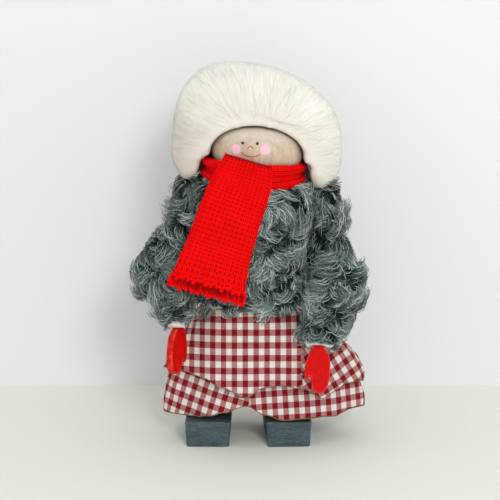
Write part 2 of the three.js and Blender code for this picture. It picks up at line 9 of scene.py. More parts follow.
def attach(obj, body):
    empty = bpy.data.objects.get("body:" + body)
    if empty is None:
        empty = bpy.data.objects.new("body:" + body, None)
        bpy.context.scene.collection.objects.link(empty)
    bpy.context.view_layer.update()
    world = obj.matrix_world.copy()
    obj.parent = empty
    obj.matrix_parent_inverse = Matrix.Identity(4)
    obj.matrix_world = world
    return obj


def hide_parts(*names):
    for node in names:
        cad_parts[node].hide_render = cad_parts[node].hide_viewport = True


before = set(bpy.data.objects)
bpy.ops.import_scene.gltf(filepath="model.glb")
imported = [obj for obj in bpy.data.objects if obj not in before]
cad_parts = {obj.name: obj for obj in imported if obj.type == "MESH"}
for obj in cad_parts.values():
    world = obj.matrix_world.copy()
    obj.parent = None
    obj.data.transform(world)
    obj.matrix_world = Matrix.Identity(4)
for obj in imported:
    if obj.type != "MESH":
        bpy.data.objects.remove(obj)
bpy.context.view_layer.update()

MM = 0.001

# The doll's own frames, as the solids have them
CENTRE_SHIFT = Vector((-2.63, 5.17, 0)) * MM
BODY_FOOT = Vector((-6.4, 0, 62)) * MM + CENTRE_SHIFT
LEAN = math.radians(4)
HEAD_HEIGHT = 166.6 * MM
SHOULDER_HEIGHT = 122 * MM
LEFT_ARM_X, LEFT_ARM_FORWARD = -50.2 * MM, math.radians(22)
RIGHT_ARM_X, RIGHT_ARM_FORWARD = 56.6 * MM, math.radians(24)
LEFT_ARM_LENGTH, RIGHT_ARM_LENGTH, WRIST_GAP = 87.5 * MM, 95.0 * MM, 0.4 * MM
SLEEVE_OVER_WRIST = 10 * MM
LEANING = Matrix.Translation(BODY_FOOT) @ Matrix.Rotation(LEAN, 4, "Y")
HEAD_FRAME = LEANING @ Matrix.Translation((0, 0, HEAD_HEIGHT))


def arm_frame(across, forward):
    """An arm's own frame: its origin on the shoulder dowel, down the arm along -Z."""
    shoulder = Matrix.Translation((across, 0, SHOULDER_HEIGHT))
    return LEANING @ shoulder @ Matrix.Rotation(-forward, 4, "X")


LEFT_ARM_FRAME = arm_frame(LEFT_ARM_X, LEFT_ARM_FORWARD)
RIGHT_ARM_FRAME = arm_frame(RIGHT_ARM_X, RIGHT_ARM_FORWARD)


def new_object(name, data):
    made = bpy.data.objects.new(name, data)
    bpy.context.scene.collection.objects.link(made)
    return made


def stands_for(piece, node, body):
    """Puts a finished piece in a solid's place: hides the solid and ties the piece to the body that it moves
    with.
    """
    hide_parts(node)
    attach(piece, body)


# Node graphs written as sums

class Port:
    """One output of a node, which can stand in a sum."""

    def __init__(self, graph, socket):
        self.graph = graph
        self.socket = socket

    def other(self, name):
        return Port(self.graph, self.socket.node.outputs[name])

    def __add__(self, value):
        return self.graph.math("ADD", self, value)

    def __sub__(self, value):
        return self.graph.math("SUBTRACT", self, value)

    def __rsub__(self, value):
        return self.graph.math("SUBTRACT", value, self)

    def __mul__(self, value):
        return self.graph.math("MULTIPLY", self, value)

    def __truediv__(self, value):
        return self.graph.math("DIVIDE", self, value)

    def __pow__(self, value):
        return self.graph.math("POWER", self, value)

    def __lt__(self, value):
        return self.graph.math("LESS_THAN", self, value)

    def __gt__(self, value):
        return self.graph.math("GREATER_THAN", self, value)

    __radd__ = __add__
    __rmul__ = __mul__

    def __abs__(self):
        return self.graph.math("ABSOLUTE", self)

    def fraction(self):
        return self.graph.math("FRACT", self)

    def whole(self):
        return self.graph.math("FLOOR", self)

    def sine(self):
        return self.graph.math("SINE", self)

    def larger(self, value):
        return self.graph.math("MAXIMUM", self, value)

    def ramp(self, low, high):
        """0 below low, 1 above high, smooth between."""
        return self.graph.node(
            "ShaderNodeMapRange",
            {"Value": self, "From Min": low, "From Max": high},
            interpolation_type="SMOOTHSTEP",
        )


class Graph:
    """A node tree of a material or of Geometry Nodes."""

    def __init__(self, tree):
        self.tree = tree

    def node(self, kind, inputs=None, out=0, **settings):
        made = self.tree.nodes.new(kind)
        for name, value in settings.items():
            setattr(made, name, value)
        for key, value in (inputs or {}).items():
            self.feed(made.inputs[key], value)
        return Port(self, made.outputs[out])

    def feed(self, socket, value):
        if isinstance(value, Port):
            self.tree.links.new(value.socket, socket)
        else:
            socket.default_value = value

    def math(self, operation, *values):
        return self.node("ShaderNodeMath", dict(enumerate(values)), operation=operation)

    def vector(self, operation, *values):
        return self.node("ShaderNodeVectorMath", dict(enumerate(values)), operation=operation)

    def scaled(self, vector, factor):
        return self.node("ShaderNodeVectorMath", {0: vector, "Scale": factor}, operation="SCALE")

    def turned(self, vector, axis, angle):
        return self.node("ShaderNodeVectorRotate", {"Vector": vector, "Axis": axis, "Angle": angle})

    def split(self, vector):
        made = self.node("ShaderNodeSeparateXYZ", {0: vector})
        return made, made.other("Y"), made.other("Z")

    def colour(self, factor, low, high):
        """A colour between two others."""
        return self.node("ShaderNodeMix", {0: factor, 6: low, 7: high}, 2, data_type="RGBA")

    def noise(self, vector, scale, detail=2.0, roughness=0.5):
        return self.node(
            "ShaderNodeTexNoise",
            {"Vector": vector, "Scale": scale, "Detail": detail, "Roughness": roughness},
        )

    def attribute(self, name, out="Fac"):
        return self.node("ShaderNodeAttribute", out=out, attribute_name=name)

    def mapped(self, vector, location=(0, 0, 0), rotation=(0, 0, 0), scale=(1, 1, 1)):
        return self.node(
            "ShaderNodeMapping",
            {"Vector": vector, "Location": location, "Rotation": rotation, "Scale": scale},
        )


class Finish(Graph):
    """A material with one Principled shader."""

    def __init__(self, name, **constants):
        self.material = bpy.data.materials.new(name)
        self.material.use_nodes = True
        super().__init__(self.material.node_tree)
        self.shader = self.tree.nodes["Principled BSDF"]
        for socket, value in constants.items():
            self.shader.inputs[socket.replace("_", " ")].default_value = value
        self.place = self.node("ShaderNodeTexCoord", out="Object")

    def paint(self, **values):
        for socket, value in values.items():
            self.feed(self.shader.inputs[socket.replace("_", " ")], value)

    def grain(self, stretch, scale, detail, roughness=0.5):
        """Noise on the piece itself, drawn out along the axes where stretch is small."""
        return self.noise(self.mapped(self.place, scale=stretch), scale, detail, roughness)

    def bump(self, height, distance, strength):
        bump = self.node("ShaderNodeBump", {"Height": height, "Distance": distance, "Strength": strength})
        self.paint(Normal=bump)


def rgb(red, green, blue):
    return (red, green, blue, 1.0)


# Finishes

def bare_wood():
    """Pale turned wood with fine grain up and down."""
    finish = Finish("bare_turned_wood", Roughness=0.62)
    grain = finish.grain((1, 1, 0.06), 900.0, 3.0)
    broad = finish.grain((1, 1, 0.1), 120.0, 2.0)
    tone = grain * 0.5 + broad * 0.5
    finish.paint(
        Base_Color=finish.colour(tone.ramp(0.35, 0.65), rgb(0.50, 0.33, 0.17), rgb(0.68, 0.50, 0.30)),
    )
    finish.bump(grain, 0.0002, 0.5)
    return finish.material


# The painted face: across and up from the middle of the head, and radii, in millimetres
EYES = ((-11.4, 9.6), (-0.5, 10.1))
EYE_RADIUS = 1.08
CHEEKS = ((-15.8, 4.7, 3.6), (5.5, 6.3, 3.8))
SMILE_MIDDLE, SMILE_RADIUS = (-4.9, 12.4), 12.0
SMILE_LEFT, SMILE_RIGHT, SMILE_TOP = -12.2, 1.9, 3.5
NOSE_MIDDLE, NOSE_RADIUS = (-5.5, 6.0), 1.75
LINE_WIDTH = 0.42


def painted_head():
    """Sanded pale wood, with painted light making it paler at the brow, and painted eyes, nose, mouth and
    cheeks.
    """
    finish = Finish("painted_head_wood", Roughness=0.5)
    local = finish.mapped(
        finish.place,
        location=tuple(HEAD_FRAME.inverted().translation),
        rotation=(0, -LEAN, 0),
    )
    x, y, z = finish.split(local)
    fibre = finish.noise(finish.mapped(local, scale=(1, 1, 0.05)), 1500.0, 3.0, 0.6)
    streak = finish.noise(finish.mapped(local, scale=(1, 1, 0.09)), 330.0, 3.0)
    cloud = finish.noise(local, 60.0, 2.0)
    tone = fibre * 0.4 + streak * 0.35 + cloud * 0.25
    wood = finish.colour(tone.ramp(0.3, 0.7), rgb(0.42, 0.31, 0.22), rgb(0.68, 0.55, 0.43))
    # Painted light: the wood is paler towards the brow, offsetting the shade that the hair roll casts there.
    brow_painted_light = z.ramp(6 * MM, 18 * MM)
    wood = finish.colour(brow_painted_light * (tone * 0.5 + 0.25), wood, rgb(0.84, 0.76, 0.70))
    front = y < 0

    def distance(middle, squash=1.0):
        across = x - middle[0] * MM
        up = (z - middle[1] * MM) * squash
        return (across * across + up * up) ** 0.5

    blush = None
    for across, up, radius in CHEEKS:
        spot = 1.0 - distance((across, up), 0.95).ramp(radius * 0.78 * MM, radius * 1.08 * MM)
        blush = spot if blush is None else blush.larger(spot)
    face = finish.colour(blush * front * 0.9, wood, rgb(0.93, 0.50, 0.65))

    ring = abs(distance(SMILE_MIDDLE) - SMILE_RADIUS * MM)
    smile = 1.0 - ring.ramp(LINE_WIDTH * 0.5 * MM, LINE_WIDTH * 1.3 * MM)
    smile = smile * (x > SMILE_LEFT * MM) * (x < SMILE_RIGHT * MM) * (z < SMILE_TOP * MM)
    arch = abs(distance(NOSE_MIDDLE) - NOSE_RADIUS * MM)
    nose = 1.0 - arch.ramp(LINE_WIDTH * 0.45 * MM, LINE_WIDTH * 1.1 * MM)
    nose = nose * (z > (NOSE_MIDDLE[1] + 0.2) * MM)
    face = finish.colour(smile.larger(nose) * front * 0.9, face, rgb(0.50, 0.02, 0.02))

    dots = None
    for middle in EYES:
        dot = 1.0 - distance(middle).ramp((EYE_RADIUS - 0.2) * MM, (EYE_RADIUS + 0.2) * MM)
        dots = dot if dots is None else dots.larger(dot)
    finish.paint(
        Base_Color=finish.colour(dots * front, face, rgb(0.008, 0.006, 0.006)),
        Roughness=0.56 + fibre * 0.08,
    )
    finish.bump(fibre * 0.6 + streak * 0.4, 0.00018, 0.6)
    return finish.material


def stained_shoe_wood(middle, half):
    """Blue-grey stain over open grain that runs across the block, rubbed pale along its edges, with a
    painted highlight along them too.
    """
    finish = Finish("stained_shoe_wood", Roughness=0.58, Specular_IOR_Level=0.22)
    grain = finish.grain((0.08, 0.35, 1), 1900.0, 4.0, 0.7)
    mottle = finish.grain((0.4, 0.7, 1), 900.0, 3.0)
    pores = finish.grain((0.03, 0.3, 1), 2000.0, 2.0)
    broad = finish.grain((0.25, 1, 1), 160.0, 3.0)
    x, y, z = finish.split(finish.vector("SUBTRACT", finish.place, tuple(middle)))
    near_x = abs(x) / half[0]
    near_y = abs(y) / half[1]
    near_z = abs(z) / half[2]
    edges = (near_x * near_y).larger(near_y * near_z).larger(near_x * near_z)
    ragged = edges + (broad - 0.5) * 0.12
    # The pale edge line is partly rubbed stain and partly a painted highlight.
    worn_and_highlit = ragged.ramp(0.95, 1.02) * grain.ramp(0.3, 0.6)
    tone = (grain * 0.45 + mottle * 0.3 + broad * 0.25).ramp(0.34, 0.66)
    stain = finish.colour(tone, rgb(0.032, 0.052, 0.059), rgb(0.084, 0.128, 0.143))
    dark = finish.colour(pores.ramp(0.62, 0.75) * 0.7, stain, rgb(0.012, 0.016, 0.020))
    finish.paint(
        Base_Color=finish.colour(worn_and_highlit * 0.65, dark, rgb(0.30, 0.35, 0.35)),
        Roughness=0.50 + grain * 0.2,
    )
    finish.bump(grain - pores.ramp(0.62, 0.75) * 0.5, 0.00025, 0.5)
    return finish.material


def painted_mitten_wood():
    """Thin red paint; the grain shows through, and the sawn edges are rubbed lighter and carry a painted
    highlight.
    """
    finish = Finish("red_painted_wood", Roughness=0.5, Specular_IOR_Level=0.08)
    down = finish.mapped(finish.place, rotation=(0, LEAN, 0), scale=(1, 1, 0.07))
    grain = finish.noise(down, 1300.0, 3.0, 0.6)
    patch = finish.noise(finish.place, 190.0, 3.0)
    edge = finish.attribute("edge")
    tone = (grain * 0.6 + patch * 0.4).ramp(0.33, 0.68)
    paint = finish.colour(tone, rgb(0.46, 0.001, 0.001), rgb(0.70, 0.002, 0.001))
    # Sawn edges: partly paint rubbed off, partly a painted highlight.
    rubbed_and_highlit = edge * (grain * 0.7 + patch * 0.5).ramp(0.45, 0.8)
    finish.paint(
        Base_Color=finish.colour(rubbed_and_highlit * 0.6, paint, rgb(0.80, 0.20, 0.14)),
        Roughness=0.46 + patch * 0.2,
    )
    finish.bump(grain, 0.0002, 0.6)
    return finish.material


def combed_wool():
    """Cream roving: soft streaks along the combing, with painted shade deep in the roll and down its lower
    sides.
    """
    finish = Finish("combed_cream_wool", Roughness=0.95, Specular_IOR_Level=0.15, Sheen_Weight=0.2)
    comb = finish.node("ShaderNodeAttribute", out="Vector", attribute_name="comb")
    lot = finish.attribute("lot")
    deep = finish.attribute("deep")
    fibres = finish.noise(finish.mapped(comb, scale=(1, 0.05, 1)), 70.0, 4.0, 0.65)
    cloud = finish.noise(finish.place, 38.0, 2.0)
    tone = (fibres * 0.3 + cloud * 0.45 + lot * 0.25).ramp(0.25, 0.7)
    wool = finish.colour(tone, rgb(0.73, 0.715, 0.64), rgb(0.865, 0.85, 0.795))
    # Painted shade: where 'deep' is high the wool is mixed towards brown.
    finish.paint(Base_Color=finish.colour(deep, wool, rgb(0.30, 0.21, 0.13)))
    finish.bump(fibres, 0.0002, 0.3)
    return finish.material


def curly_fur():
    """Charcoal roots, partly the fur's own colour and partly painted shade among the curls; pale cream-grey
    tips; a share of strands painted near white as highlights; and whole locks lighter or darker.
    """
    finish = Finish("curly_grey_fur", Roughness=0.55, Specular_IOR_Level=0.35)
    along = finish.attribute("along")
    lot = finish.attribute("lot")
    lock = finish.attribute("lock")
    patch = finish.noise(finish.place, 55.0, 2.0)
    # Darker towards the roots: partly the fur's own colour, partly painted shade deep among the curls.
    root_shade_and_tone = (along * 0.8 + lot * 0.45 + lock * 0.2 + patch * 0.4 - 0.4).ramp(0.2, 1.02)
    body = finish.colour(root_shade_and_tone, rgb(0.004, 0.012, 0.0105), rgb(0.275, 0.36, 0.34))
    # Painted highlight: a share of the strands turns near white towards its tip.
    painted_highlight_strands = (lot * 0.85 + lock * 0.15).ramp(0.59, 0.93) * along.ramp(0.15, 0.6)
    finish.paint(Base_Color=finish.colour(painted_highlight_strands * 0.8, body, rgb(0.88, 0.97, 0.95)))
    return finish.material


def fur_hide():
    """The hide under the fur: dark undercoat outside, and white suede where the sleeve turns at the cuff."""
    finish = Finish("fur_hide", Roughness=0.95)
    suede = finish.attribute("suede")
    nap = finish.noise(finish.place, 1500.0, 2.0)
    under = finish.colour(nap, rgb(0.014, 0.022, 0.021), rgb(0.060, 0.078, 0.072))
    white = finish.colour(nap, rgb(0.58, 0.57, 0.53), rgb(0.80, 0.79, 0.75))
    finish.paint(Base_Color=finish.colour(suede, under, white))
    finish.bump(nap, 0.0004, 0.5)
    return finish.material


def red_yarn():
    """Matt red wool with its plies."""
    finish = Finish("red_wool_yarn", Roughness=0.9, Specular_IOR_Level=0.08)
    ply = finish.noise(finish.place, 2600.0, 2.0)
    patch = finish.noise(finish.place, 60.0, 2.0)
    tone = (ply * 0.7 + patch * 0.3).ramp(0.3, 0.7)
    finish.paint(Base_Color=finish.colour(tone, rgb(0.66, 0.001, 0.001), rgb(0.96, 0.002, 0.003)))
    finish.bump(ply, 0.0003, 0.5)
    return finish.material


def shaded_knit_backing():
    """Red fuzz between the stitches, painted darker as the shade in the gaps between them."""
    finish = Finish("red_knit_backing", Roughness=0.95, Specular_IOR_Level=0.08)
    fuzz = finish.noise(finish.place, 2200.0, 2.0)
    finish.paint(Base_Color=finish.colour(fuzz, rgb(0.30, 0.001, 0.001), rgb(0.45, 0.002, 0.002)))
    finish.bump(fuzz, 0.0003, 0.6)
    return finish.material


GINGHAM_REPEAT_ACROSS, GINGHAM_REPEAT_DOWN = 8.3 * MM, 9.8 * MM
THREAD_WIDTH = 0.5 * MM


def gingham():
    """Plain weave: threads take turns on top, so where a dark and a pale band cross both show."""
    finish = Finish("burgundy_gingham", Roughness=0.9, Specular_IOR_Level=0.12)
    cloth = finish.node("ShaderNodeTexCoord", out="UV")
    u, v, _ = finish.split(cloth)
    band_u = (u / GINGHAM_REPEAT_ACROSS).fraction() < 0.5
    band_v = (v / GINGHAM_REPEAT_DOWN).fraction() < 0.5
    thread_u = u / THREAD_WIDTH
    thread_v = v / THREAD_WIDTH
    parity = ((thread_u.whole() + thread_v.whole()) * 0.5).fraction()
    warp_up = parity > 0.25
    dyed = band_u * warp_up + band_v * (1.0 - warp_up)
    mixed = abs(band_u - band_v)
    slub_u = finish.noise(finish.mapped(cloth, scale=(1, 0.04, 1)), 1400.0, 2.0)
    slub_v = finish.noise(finish.mapped(cloth, scale=(0.04, 1, 1)), 1400.0, 2.0)
    slub = slub_u * warp_up + slub_v * (1.0 - warp_up)
    dark = finish.colour(slub.ramp(0.3, 0.7), rgb(0.14, 0.003, 0.007), rgb(0.26, 0.008, 0.015))
    pale = finish.colour(slub.ramp(0.3, 0.7), rgb(0.64, 0.61, 0.54), rgb(0.82, 0.80, 0.74))
    pale = finish.colour(mixed * 0.7, pale, rgb(0.52, 0.18, 0.19))
    cloth_colour = finish.colour(dyed, pale, dark)
    # The hem's dark line is partly the cut edge and partly a painted shadow under the hem.
    cut_edge_and_shadow = finish.attribute("raw_edge_and_shadow").ramp(0.5, 0.6)
    finish.paint(Base_Color=finish.colour(cut_edge_and_shadow * 0.85, cloth_colour, rgb(0.22, 0.16, 0.08)))
    round_u = (thread_u * math.pi).sine()
    round_v = (thread_v * math.pi).sine()
    height = abs(round_u) * warp_up + abs(round_v) * (1.0 - warp_up)
    finish.bump(height * 0.8 + slub * 0.4, 0.00012, 0.6)
    return finish.material


# Meshes

def new_piece(name, mesh_data, materials, smooth=True):
    for material in materials:
        mesh_data.materials.append(material)
    if smooth:
        mesh_data.shade_smooth()
    return new_object(name, mesh_data)


def merged(made, within, outwards=False):
    """Merges the points that coincide, and turns the faces outwards where asked."""
    work = bmesh.new()
    work.from_mesh(made)
    bmesh.ops.remove_doubles(work, verts=work.verts, dist=within)
    if outwards:
        bmesh.ops.recalc_face_normals(work, faces=work.faces)
    work.to_mesh(made)
    work.free()


def grid_mesh(name, rows, closed_along=False, uv=None):
    """Quads between closed rows of points, facing out; closed_along joins the last row to the first."""
    count = len(rows[0])
    points = [point for row in rows for point in row]
    along = len(rows) if closed_along else len(rows) - 1
    faces = []
    marks = []
    for i in range(along):
        j = (i + 1) % len(rows)
        for k in range(count):
            m = (k + 1) % count
            faces.append((i * count + k, i * count + m, j * count + m, j * count + k))
            marks.append(((i, k, k), (i, k + 1, k), (i + 1, k + 1, k), (i + 1, k, k)))
    made = bpy.data.meshes.new(name)
    made.from_pydata([tuple(point) for point in points], [], faces)
    if uv:
        layer = made.uv_layers.new(name="cloth")
        flat = [uv(*mark) for face in marks for mark in face]
        layer.data.foreach_set("uv", [value for pair in flat for value in pair])
    made.update()
    merged(made, 1e-7, outwards=True)
    return made


def applied(piece):
    """The piece's shape with its modifiers applied."""
    evaluated = piece.evaluated_get(bpy.context.evaluated_depsgraph_get())
    made = bpy.data.meshes.new_from_object(evaluated)
    piece.modifiers.clear()
    piece.data = made
    return piece


def solid_copy(node, name):
    """A merged copy of a solid from the frame, to be reshaped."""
    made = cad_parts[node].data.copy()
    made.name = name
    made.materials.clear()
    merged(made, 1e-6)
    return made


def rounded(piece, voxel, smoothing):
    """An even quad skin over the piece, with its corners eased."""
    remesh = piece.modifiers.new("even_skin", "REMESH")
    remesh.mode = "VOXEL"
    remesh.voxel_size = voxel
    ease = piece.modifiers.new("ease", "SMOOTH")
    ease.factor = 0.5
    ease.iterations = smoothing
    applied(piece)
    piece.data.shade_smooth()
    return piece


def point_attribute(made, name, values, kind="FLOAT"):
    layer = made.attributes.new(name, kind, "POINT")
    if kind == "FLOAT":
        layer.data.foreach_set("value", values)
    else:
        layer.data.foreach_set("vector", [value for vector in values for value in vector])


def smooth_step(low, high, value):
    share = min(1.0, max(0.0, (value - low) / (high - low)))
    return share * share * (3 - 2 * share)


def between(low, high, share):
    return low + (high - low) * share


# Geometry Nodes

def socket_kinds(kind):
    return {
        "geometry": "NodeSocketGeometry", "number": "NodeSocketFloat", "count": "NodeSocketInt",
        "material": "NodeSocketMaterial", "vector": "NodeSocketVector",
    }[kind]


class Grower(Graph):
    """A Geometry Nodes tree with named inputs, grown on a base mesh and kept as a plain mesh."""

    def __init__(self, name, **inputs):
        group = bpy.data.node_groups.new(name, "GeometryNodeTree")
        super().__init__(group)
        group.interface.new_socket("Geometry", in_out="INPUT", socket_type="NodeSocketGeometry")
        group.interface.new_socket("Geometry", in_out="OUTPUT", socket_type="NodeSocketGeometry")
        self.keys = {}
        for label, kind in inputs.items():
            made = group.interface.new_socket(label, in_out="INPUT", socket_type=socket_kinds(kind))
            self.keys[label] = made.identifier
        self.entry = group.nodes.new("NodeGroupInput")

    def given(self, label):
        return Port(self, self.entry.outputs[label])

    def kept(self, geometry, name, value, kind="FLOAT"):
        """The geometry with a value kept on each of its points under a name."""
        return self.node(
            "GeometryNodeStoreNamedAttribute",
            {"Geometry": geometry, "Name": name, "Value": value},
            data_type=kind,
            domain="POINT",
        )

    def named(self, name, kind="FLOAT"):
        return self.node("GeometryNodeInputNamedAttribute", {"Name": name}, data_type=kind)

    def nearby(self, source, value, index):
        """A vector read from one point of other geometry."""
        return self.node(
            "GeometryNodeSampleIndex",
            {"Geometry": source, "Value": value, "Index": index},
            data_type="FLOAT_VECTOR",
        )

    def chance(self, low, high, seed, marker=None):
        """A random number for each point, or for each marker."""
        inputs = {2: low, 3: high, "Seed": seed}
        if marker is not None:
            inputs["ID"] = marker
        return self.node("FunctionNodeRandomValue", inputs, out=1)

    def result(self, geometry):
        solid = self.node("GeometryNodeRealizeInstances", {"Geometry": geometry})
        smooth = self.node("GeometryNodeSetShadeSmooth", {"Geometry": solid})
        finished = self.node(
            "GeometryNodeSetMaterial", {"Geometry": smooth, "Material": self.given("Material")},
        )
        ending = self.tree.nodes.new("NodeGroupOutput")
        self.feed(ending.inputs["Geometry"], finished)

    def grown(self, name, base, **values):
        """The tree's result on a base object, as a piece of its own."""
        host = new_object(name, base.data)
        modifier = host.modifiers.new("grow", "NODES")
        modifier.node_group = self.tree
        for label, value in values.items():
            modifier[self.keys[label]] = value
        return applied(host)

    def strand_mesh(self, roots, points, place, radius, sides=3):
        """One tapering strand on each root, bent to the places given along it."""
        line = self.node("GeometryNodeCurvePrimitiveLine")
        segments = self.node("GeometryNodeResampleCurve", {"Curve": line, "Count": points})
        planted = self.node("GeometryNodeInstanceOnPoints", {"Points": roots, "Instance": segments})
        strands = self.node("GeometryNodeRealizeInstances", {"Geometry": planted})
        bent = self.node("GeometryNodeSetPosition", {"Geometry": strands, "Position": place})
        along = self.node("GeometryNodeSplineParameter")
        marked = self.kept(bent, "along", along)
        ring = self.node("GeometryNodeCurvePrimitiveCircle", {"Resolution": sides, "Radius": 1.0})
        return self.node(
            "GeometryNodeCurveToMesh", {"Curve": marked, "Profile Curve": ring, "Scale": radius},
        )


def fur_grower():
    """Curly fur: the strands of one lock lie side by side on the same arc, up from the hide and round."""
    g = Grower(
        "curly_fur_grower",
        Strands="number", Spacing="number", Length="number", Curl="number", Droop="number",
        Lift="number", Gather="number", Thickness="number", Seed="count", Locks="count", Material="material",
    )
    hide = g.given("Geometry")
    furry = g.named("furry")
    planted = g.node(
        "GeometryNodeDistributePointsOnFaces",
        {"Mesh": hide, "Density": g.given("Strands") * furry.ramp(0.02, 0.3), "Seed": g.given("Seed")},
    )
    locks = g.node(
        "GeometryNodeDistributePointsOnFaces",
        {"Mesh": hide, "Distance Min": g.given("Spacing"), "Density Max": 90000.0, "Seed": g.given("Locks")},
        distribute_method="POISSON",
    )
    lock_points = g.kept(locks, "lock_way", locks.other("Normal"), "FLOAT_VECTOR")
    place = g.node("GeometryNodeInputPosition")
    nearest = g.node("GeometryNodeSampleNearest", {"Geometry": lock_points, "Sample Position": place})
    centre = g.nearby(lock_points, place, nearest)
    lock_way = g.nearby(lock_points, g.named("lock_way", "FLOAT_VECTOR"), nearest)

    roots = g.kept(planted, "own_way", planted.other("Normal"), "FLOAT_VECTOR")
    roots = g.kept(roots, "root", place, "FLOAT_VECTOR")
    roots = g.kept(roots, "centre", centre, "FLOAT_VECTOR")
    blend = g.vector("NORMALIZE", g.vector("ADD", lock_way, g.named("own_way", "FLOAT_VECTOR")))
    roots = g.kept(roots, "outward", blend, "FLOAT_VECTOR")
    roots = g.kept(roots, "lock", g.chance(0.0, 1.0, 3, nearest))
    roots = g.kept(roots, "hand", g.chance(-1.0, 1.0, 5, nearest))
    own_bearing = g.chance(-0.12, 0.12, g.given("Seed") + 4.0)
    roots = g.kept(roots, "bearing", g.chance(-1.9, 1.9, 7, nearest) + own_bearing)
    roots = g.kept(roots, "lot", g.chance(0.0, 1.0, g.given("Seed")))
    roots = g.kept(roots, "long", g.chance(0.75, 1.12, g.given("Seed") + 1.0) * furry)
    roots = g.kept(roots, "wind", g.chance(0.88, 1.12, g.given("Seed") + 2.0))

    along = g.node("GeometryNodeSplineParameter")
    way = g.named("outward", "FLOAT_VECTOR")
    root = g.named("root", "FLOAT_VECTOR")
    hand = g.named("hand")
    turning = ((hand > 0) * 2.0 - 1.0) * (g.given("Curl") * (0.55 + abs(hand) * 0.75)) * g.named("wind")
    length = g.given("Length") * g.named("long")
    down = g.vector("CROSS_PRODUCT", g.vector("CROSS_PRODUCT", way, (0.02, 0.05, -1.0)), way)
    down = g.vector("NORMALIZE", g.vector("ADD", down, (0.0, -0.02, 0.0)))
    ahead = g.turned(down, way, g.named("bearing"))
    aside = g.vector("CROSS_PRODUCT", way, ahead)
    swept = turning * along
    forth = swept.sine() / turning
    across = (1.0 - g.math("COSINE", swept)) / turning
    arc = g.vector("ADD", g.scaled(ahead, forth * length), g.scaled(aside, across * length))
    rise = (along * 2.3).sine() * g.given("Lift") * length
    sag = g.scaled((0.0, 0.0, -1.0), along * along * g.given("Droop") * length)
    to_centre = g.vector("SUBTRACT", g.named("centre", "FLOAT_VECTOR"), root)
    drawn = g.scaled(to_centre, along * g.given("Gather"))
    jitter = g.node("ShaderNodeTexNoise", {"Vector": root, "Scale": 2500.0, "Detail": 1.0}, out="Color")
    stray = g.scaled(g.vector("SUBTRACT", jitter, (0.5, 0.5, 0.5)), along * length * 0.13)
    bend = g.vector("ADD", g.vector("ADD", root, arc), g.vector("ADD", g.scaled(way, rise), sag))
    bend = g.vector("ADD", bend, g.vector("ADD", drawn, stray))
    radius = g.given("Thickness") * (1.0 - along * 0.6)
    g.result(g.strand_mesh(roots, 6, bend, radius))
    return g


def wool_grower():
    """Combed fibres that lie along the roll, a little proud of it, with a few loose ends."""
    g = Grower(
        "combed_wool_grower", Fibres="number", Length="number", Lift="number", Thickness="number",
        Seed="count", Material="material",
    )
    roll = g.given("Geometry")
    planted = g.node(
        "GeometryNodeDistributePointsOnFaces",
        {"Mesh": roll, "Density": g.given("Fibres"), "Seed": g.given("Seed")},
    )
    place = g.node("GeometryNodeInputPosition")
    roots = g.kept(planted, "root", place, "FLOAT_VECTOR")
    roots = g.kept(roots, "lot", g.chance(0.0, 1.0, g.given("Seed")))
    roots = g.kept(roots, "long", g.chance(0.5, 1.2, g.given("Seed") + 1.0))
    roots = g.kept(roots, "loose", g.chance(0.0, 1.0, g.given("Seed") + 2.0))
    roots = g.kept(roots, "own_way", planted.other("Normal"), "FLOAT_VECTOR")
    roots = g.kept(roots, "veer", g.chance(-0.35, 0.35, g.given("Seed") + 3.0))
    along = g.node("GeometryNodeSplineParameter")
    root = g.named("root", "FLOAT_VECTOR")
    way = g.turned(g.named("flow", "FLOAT_VECTOR"), g.named("own_way", "FLOAT_VECTOR"), g.named("veer"))
    length = g.given("Length") * g.named("long")
    wave = g.node("ShaderNodeTexNoise", {"Vector": root, "Scale": 130.0, "Detail": 1.0}, out="Color")
    wander = g.scaled(g.vector("SUBTRACT", wave, (0.5, 0.5, 0.5)), length * along * 0.08)
    ahead = g.vector("ADD", g.vector("ADD", root, g.scaled(way, along * length)), wander)
    near = g.node(
        "GeometryNodeProximity", {"Geometry": roll, "Sample Position": ahead}, target_element="FACES",
    )
    outward = g.node(
        "GeometryNodeSampleNearestSurface",
        {"Mesh": roll, "Value": g.node("GeometryNodeInputNormal"), "Sample Position": ahead},
        data_type="FLOAT_VECTOR",
    )
    free = g.named("loose").ramp(0.86, 1.0)
    arch = (along * math.pi).sine() * 0.5 + along * free * 18.0
    bend = g.vector("ADD", near, g.scaled(outward, g.given("Lift") * arch))
    radius = g.given("Thickness") * (1.0 - abs(along - 0.5) * 1.3)
    g.result(g.strand_mesh(roots, 8, bend, radius))
    return g


def stitch_grower():
    """Stocking stitch: a V of two bent legs of yarn on each point of a chart of stitches."""
    g = Grower("knit_stitch_grower", Yarn="number", Material="material")
    legs = []
    for side in (-1, 1):
        leg = g.node(
            "GeometryNodeCurvePrimitiveBezierSegment",
            {
                "Resolution": 7,
                "Start": (side * 0.09, -0.70, 0.02), "Start Handle": (side * 0.16, -0.30, 0.14),
                "End Handle": (side * 0.42, 0.05, 0.16), "End": (side * 0.36, 0.62, 0.06),
            },
        )
        ring = g.node("GeometryNodeCurvePrimitiveCircle", {"Resolution": 6, "Radius": g.given("Yarn")})
        legs.append(g.node(
            "GeometryNodeCurveToMesh", {"Curve": leg, "Profile Curve": ring, "Fill Caps": True},
        ))
    both = g.tree.nodes.new("GeometryNodeJoinGeometry")
    for leg in legs:
        g.feed(both.inputs[0], leg)
    stitches = g.node(
        "GeometryNodeInstanceOnPoints",
        {"Points": g.given("Geometry"), "Instance": Port(g, both.outputs[0]),
         "Rotation": g.named("turn", "FLOAT_VECTOR"), "Scale": g.named("stitch", "FLOAT_VECTOR")},
    )
    g.result(stitches)
    return g


# Head

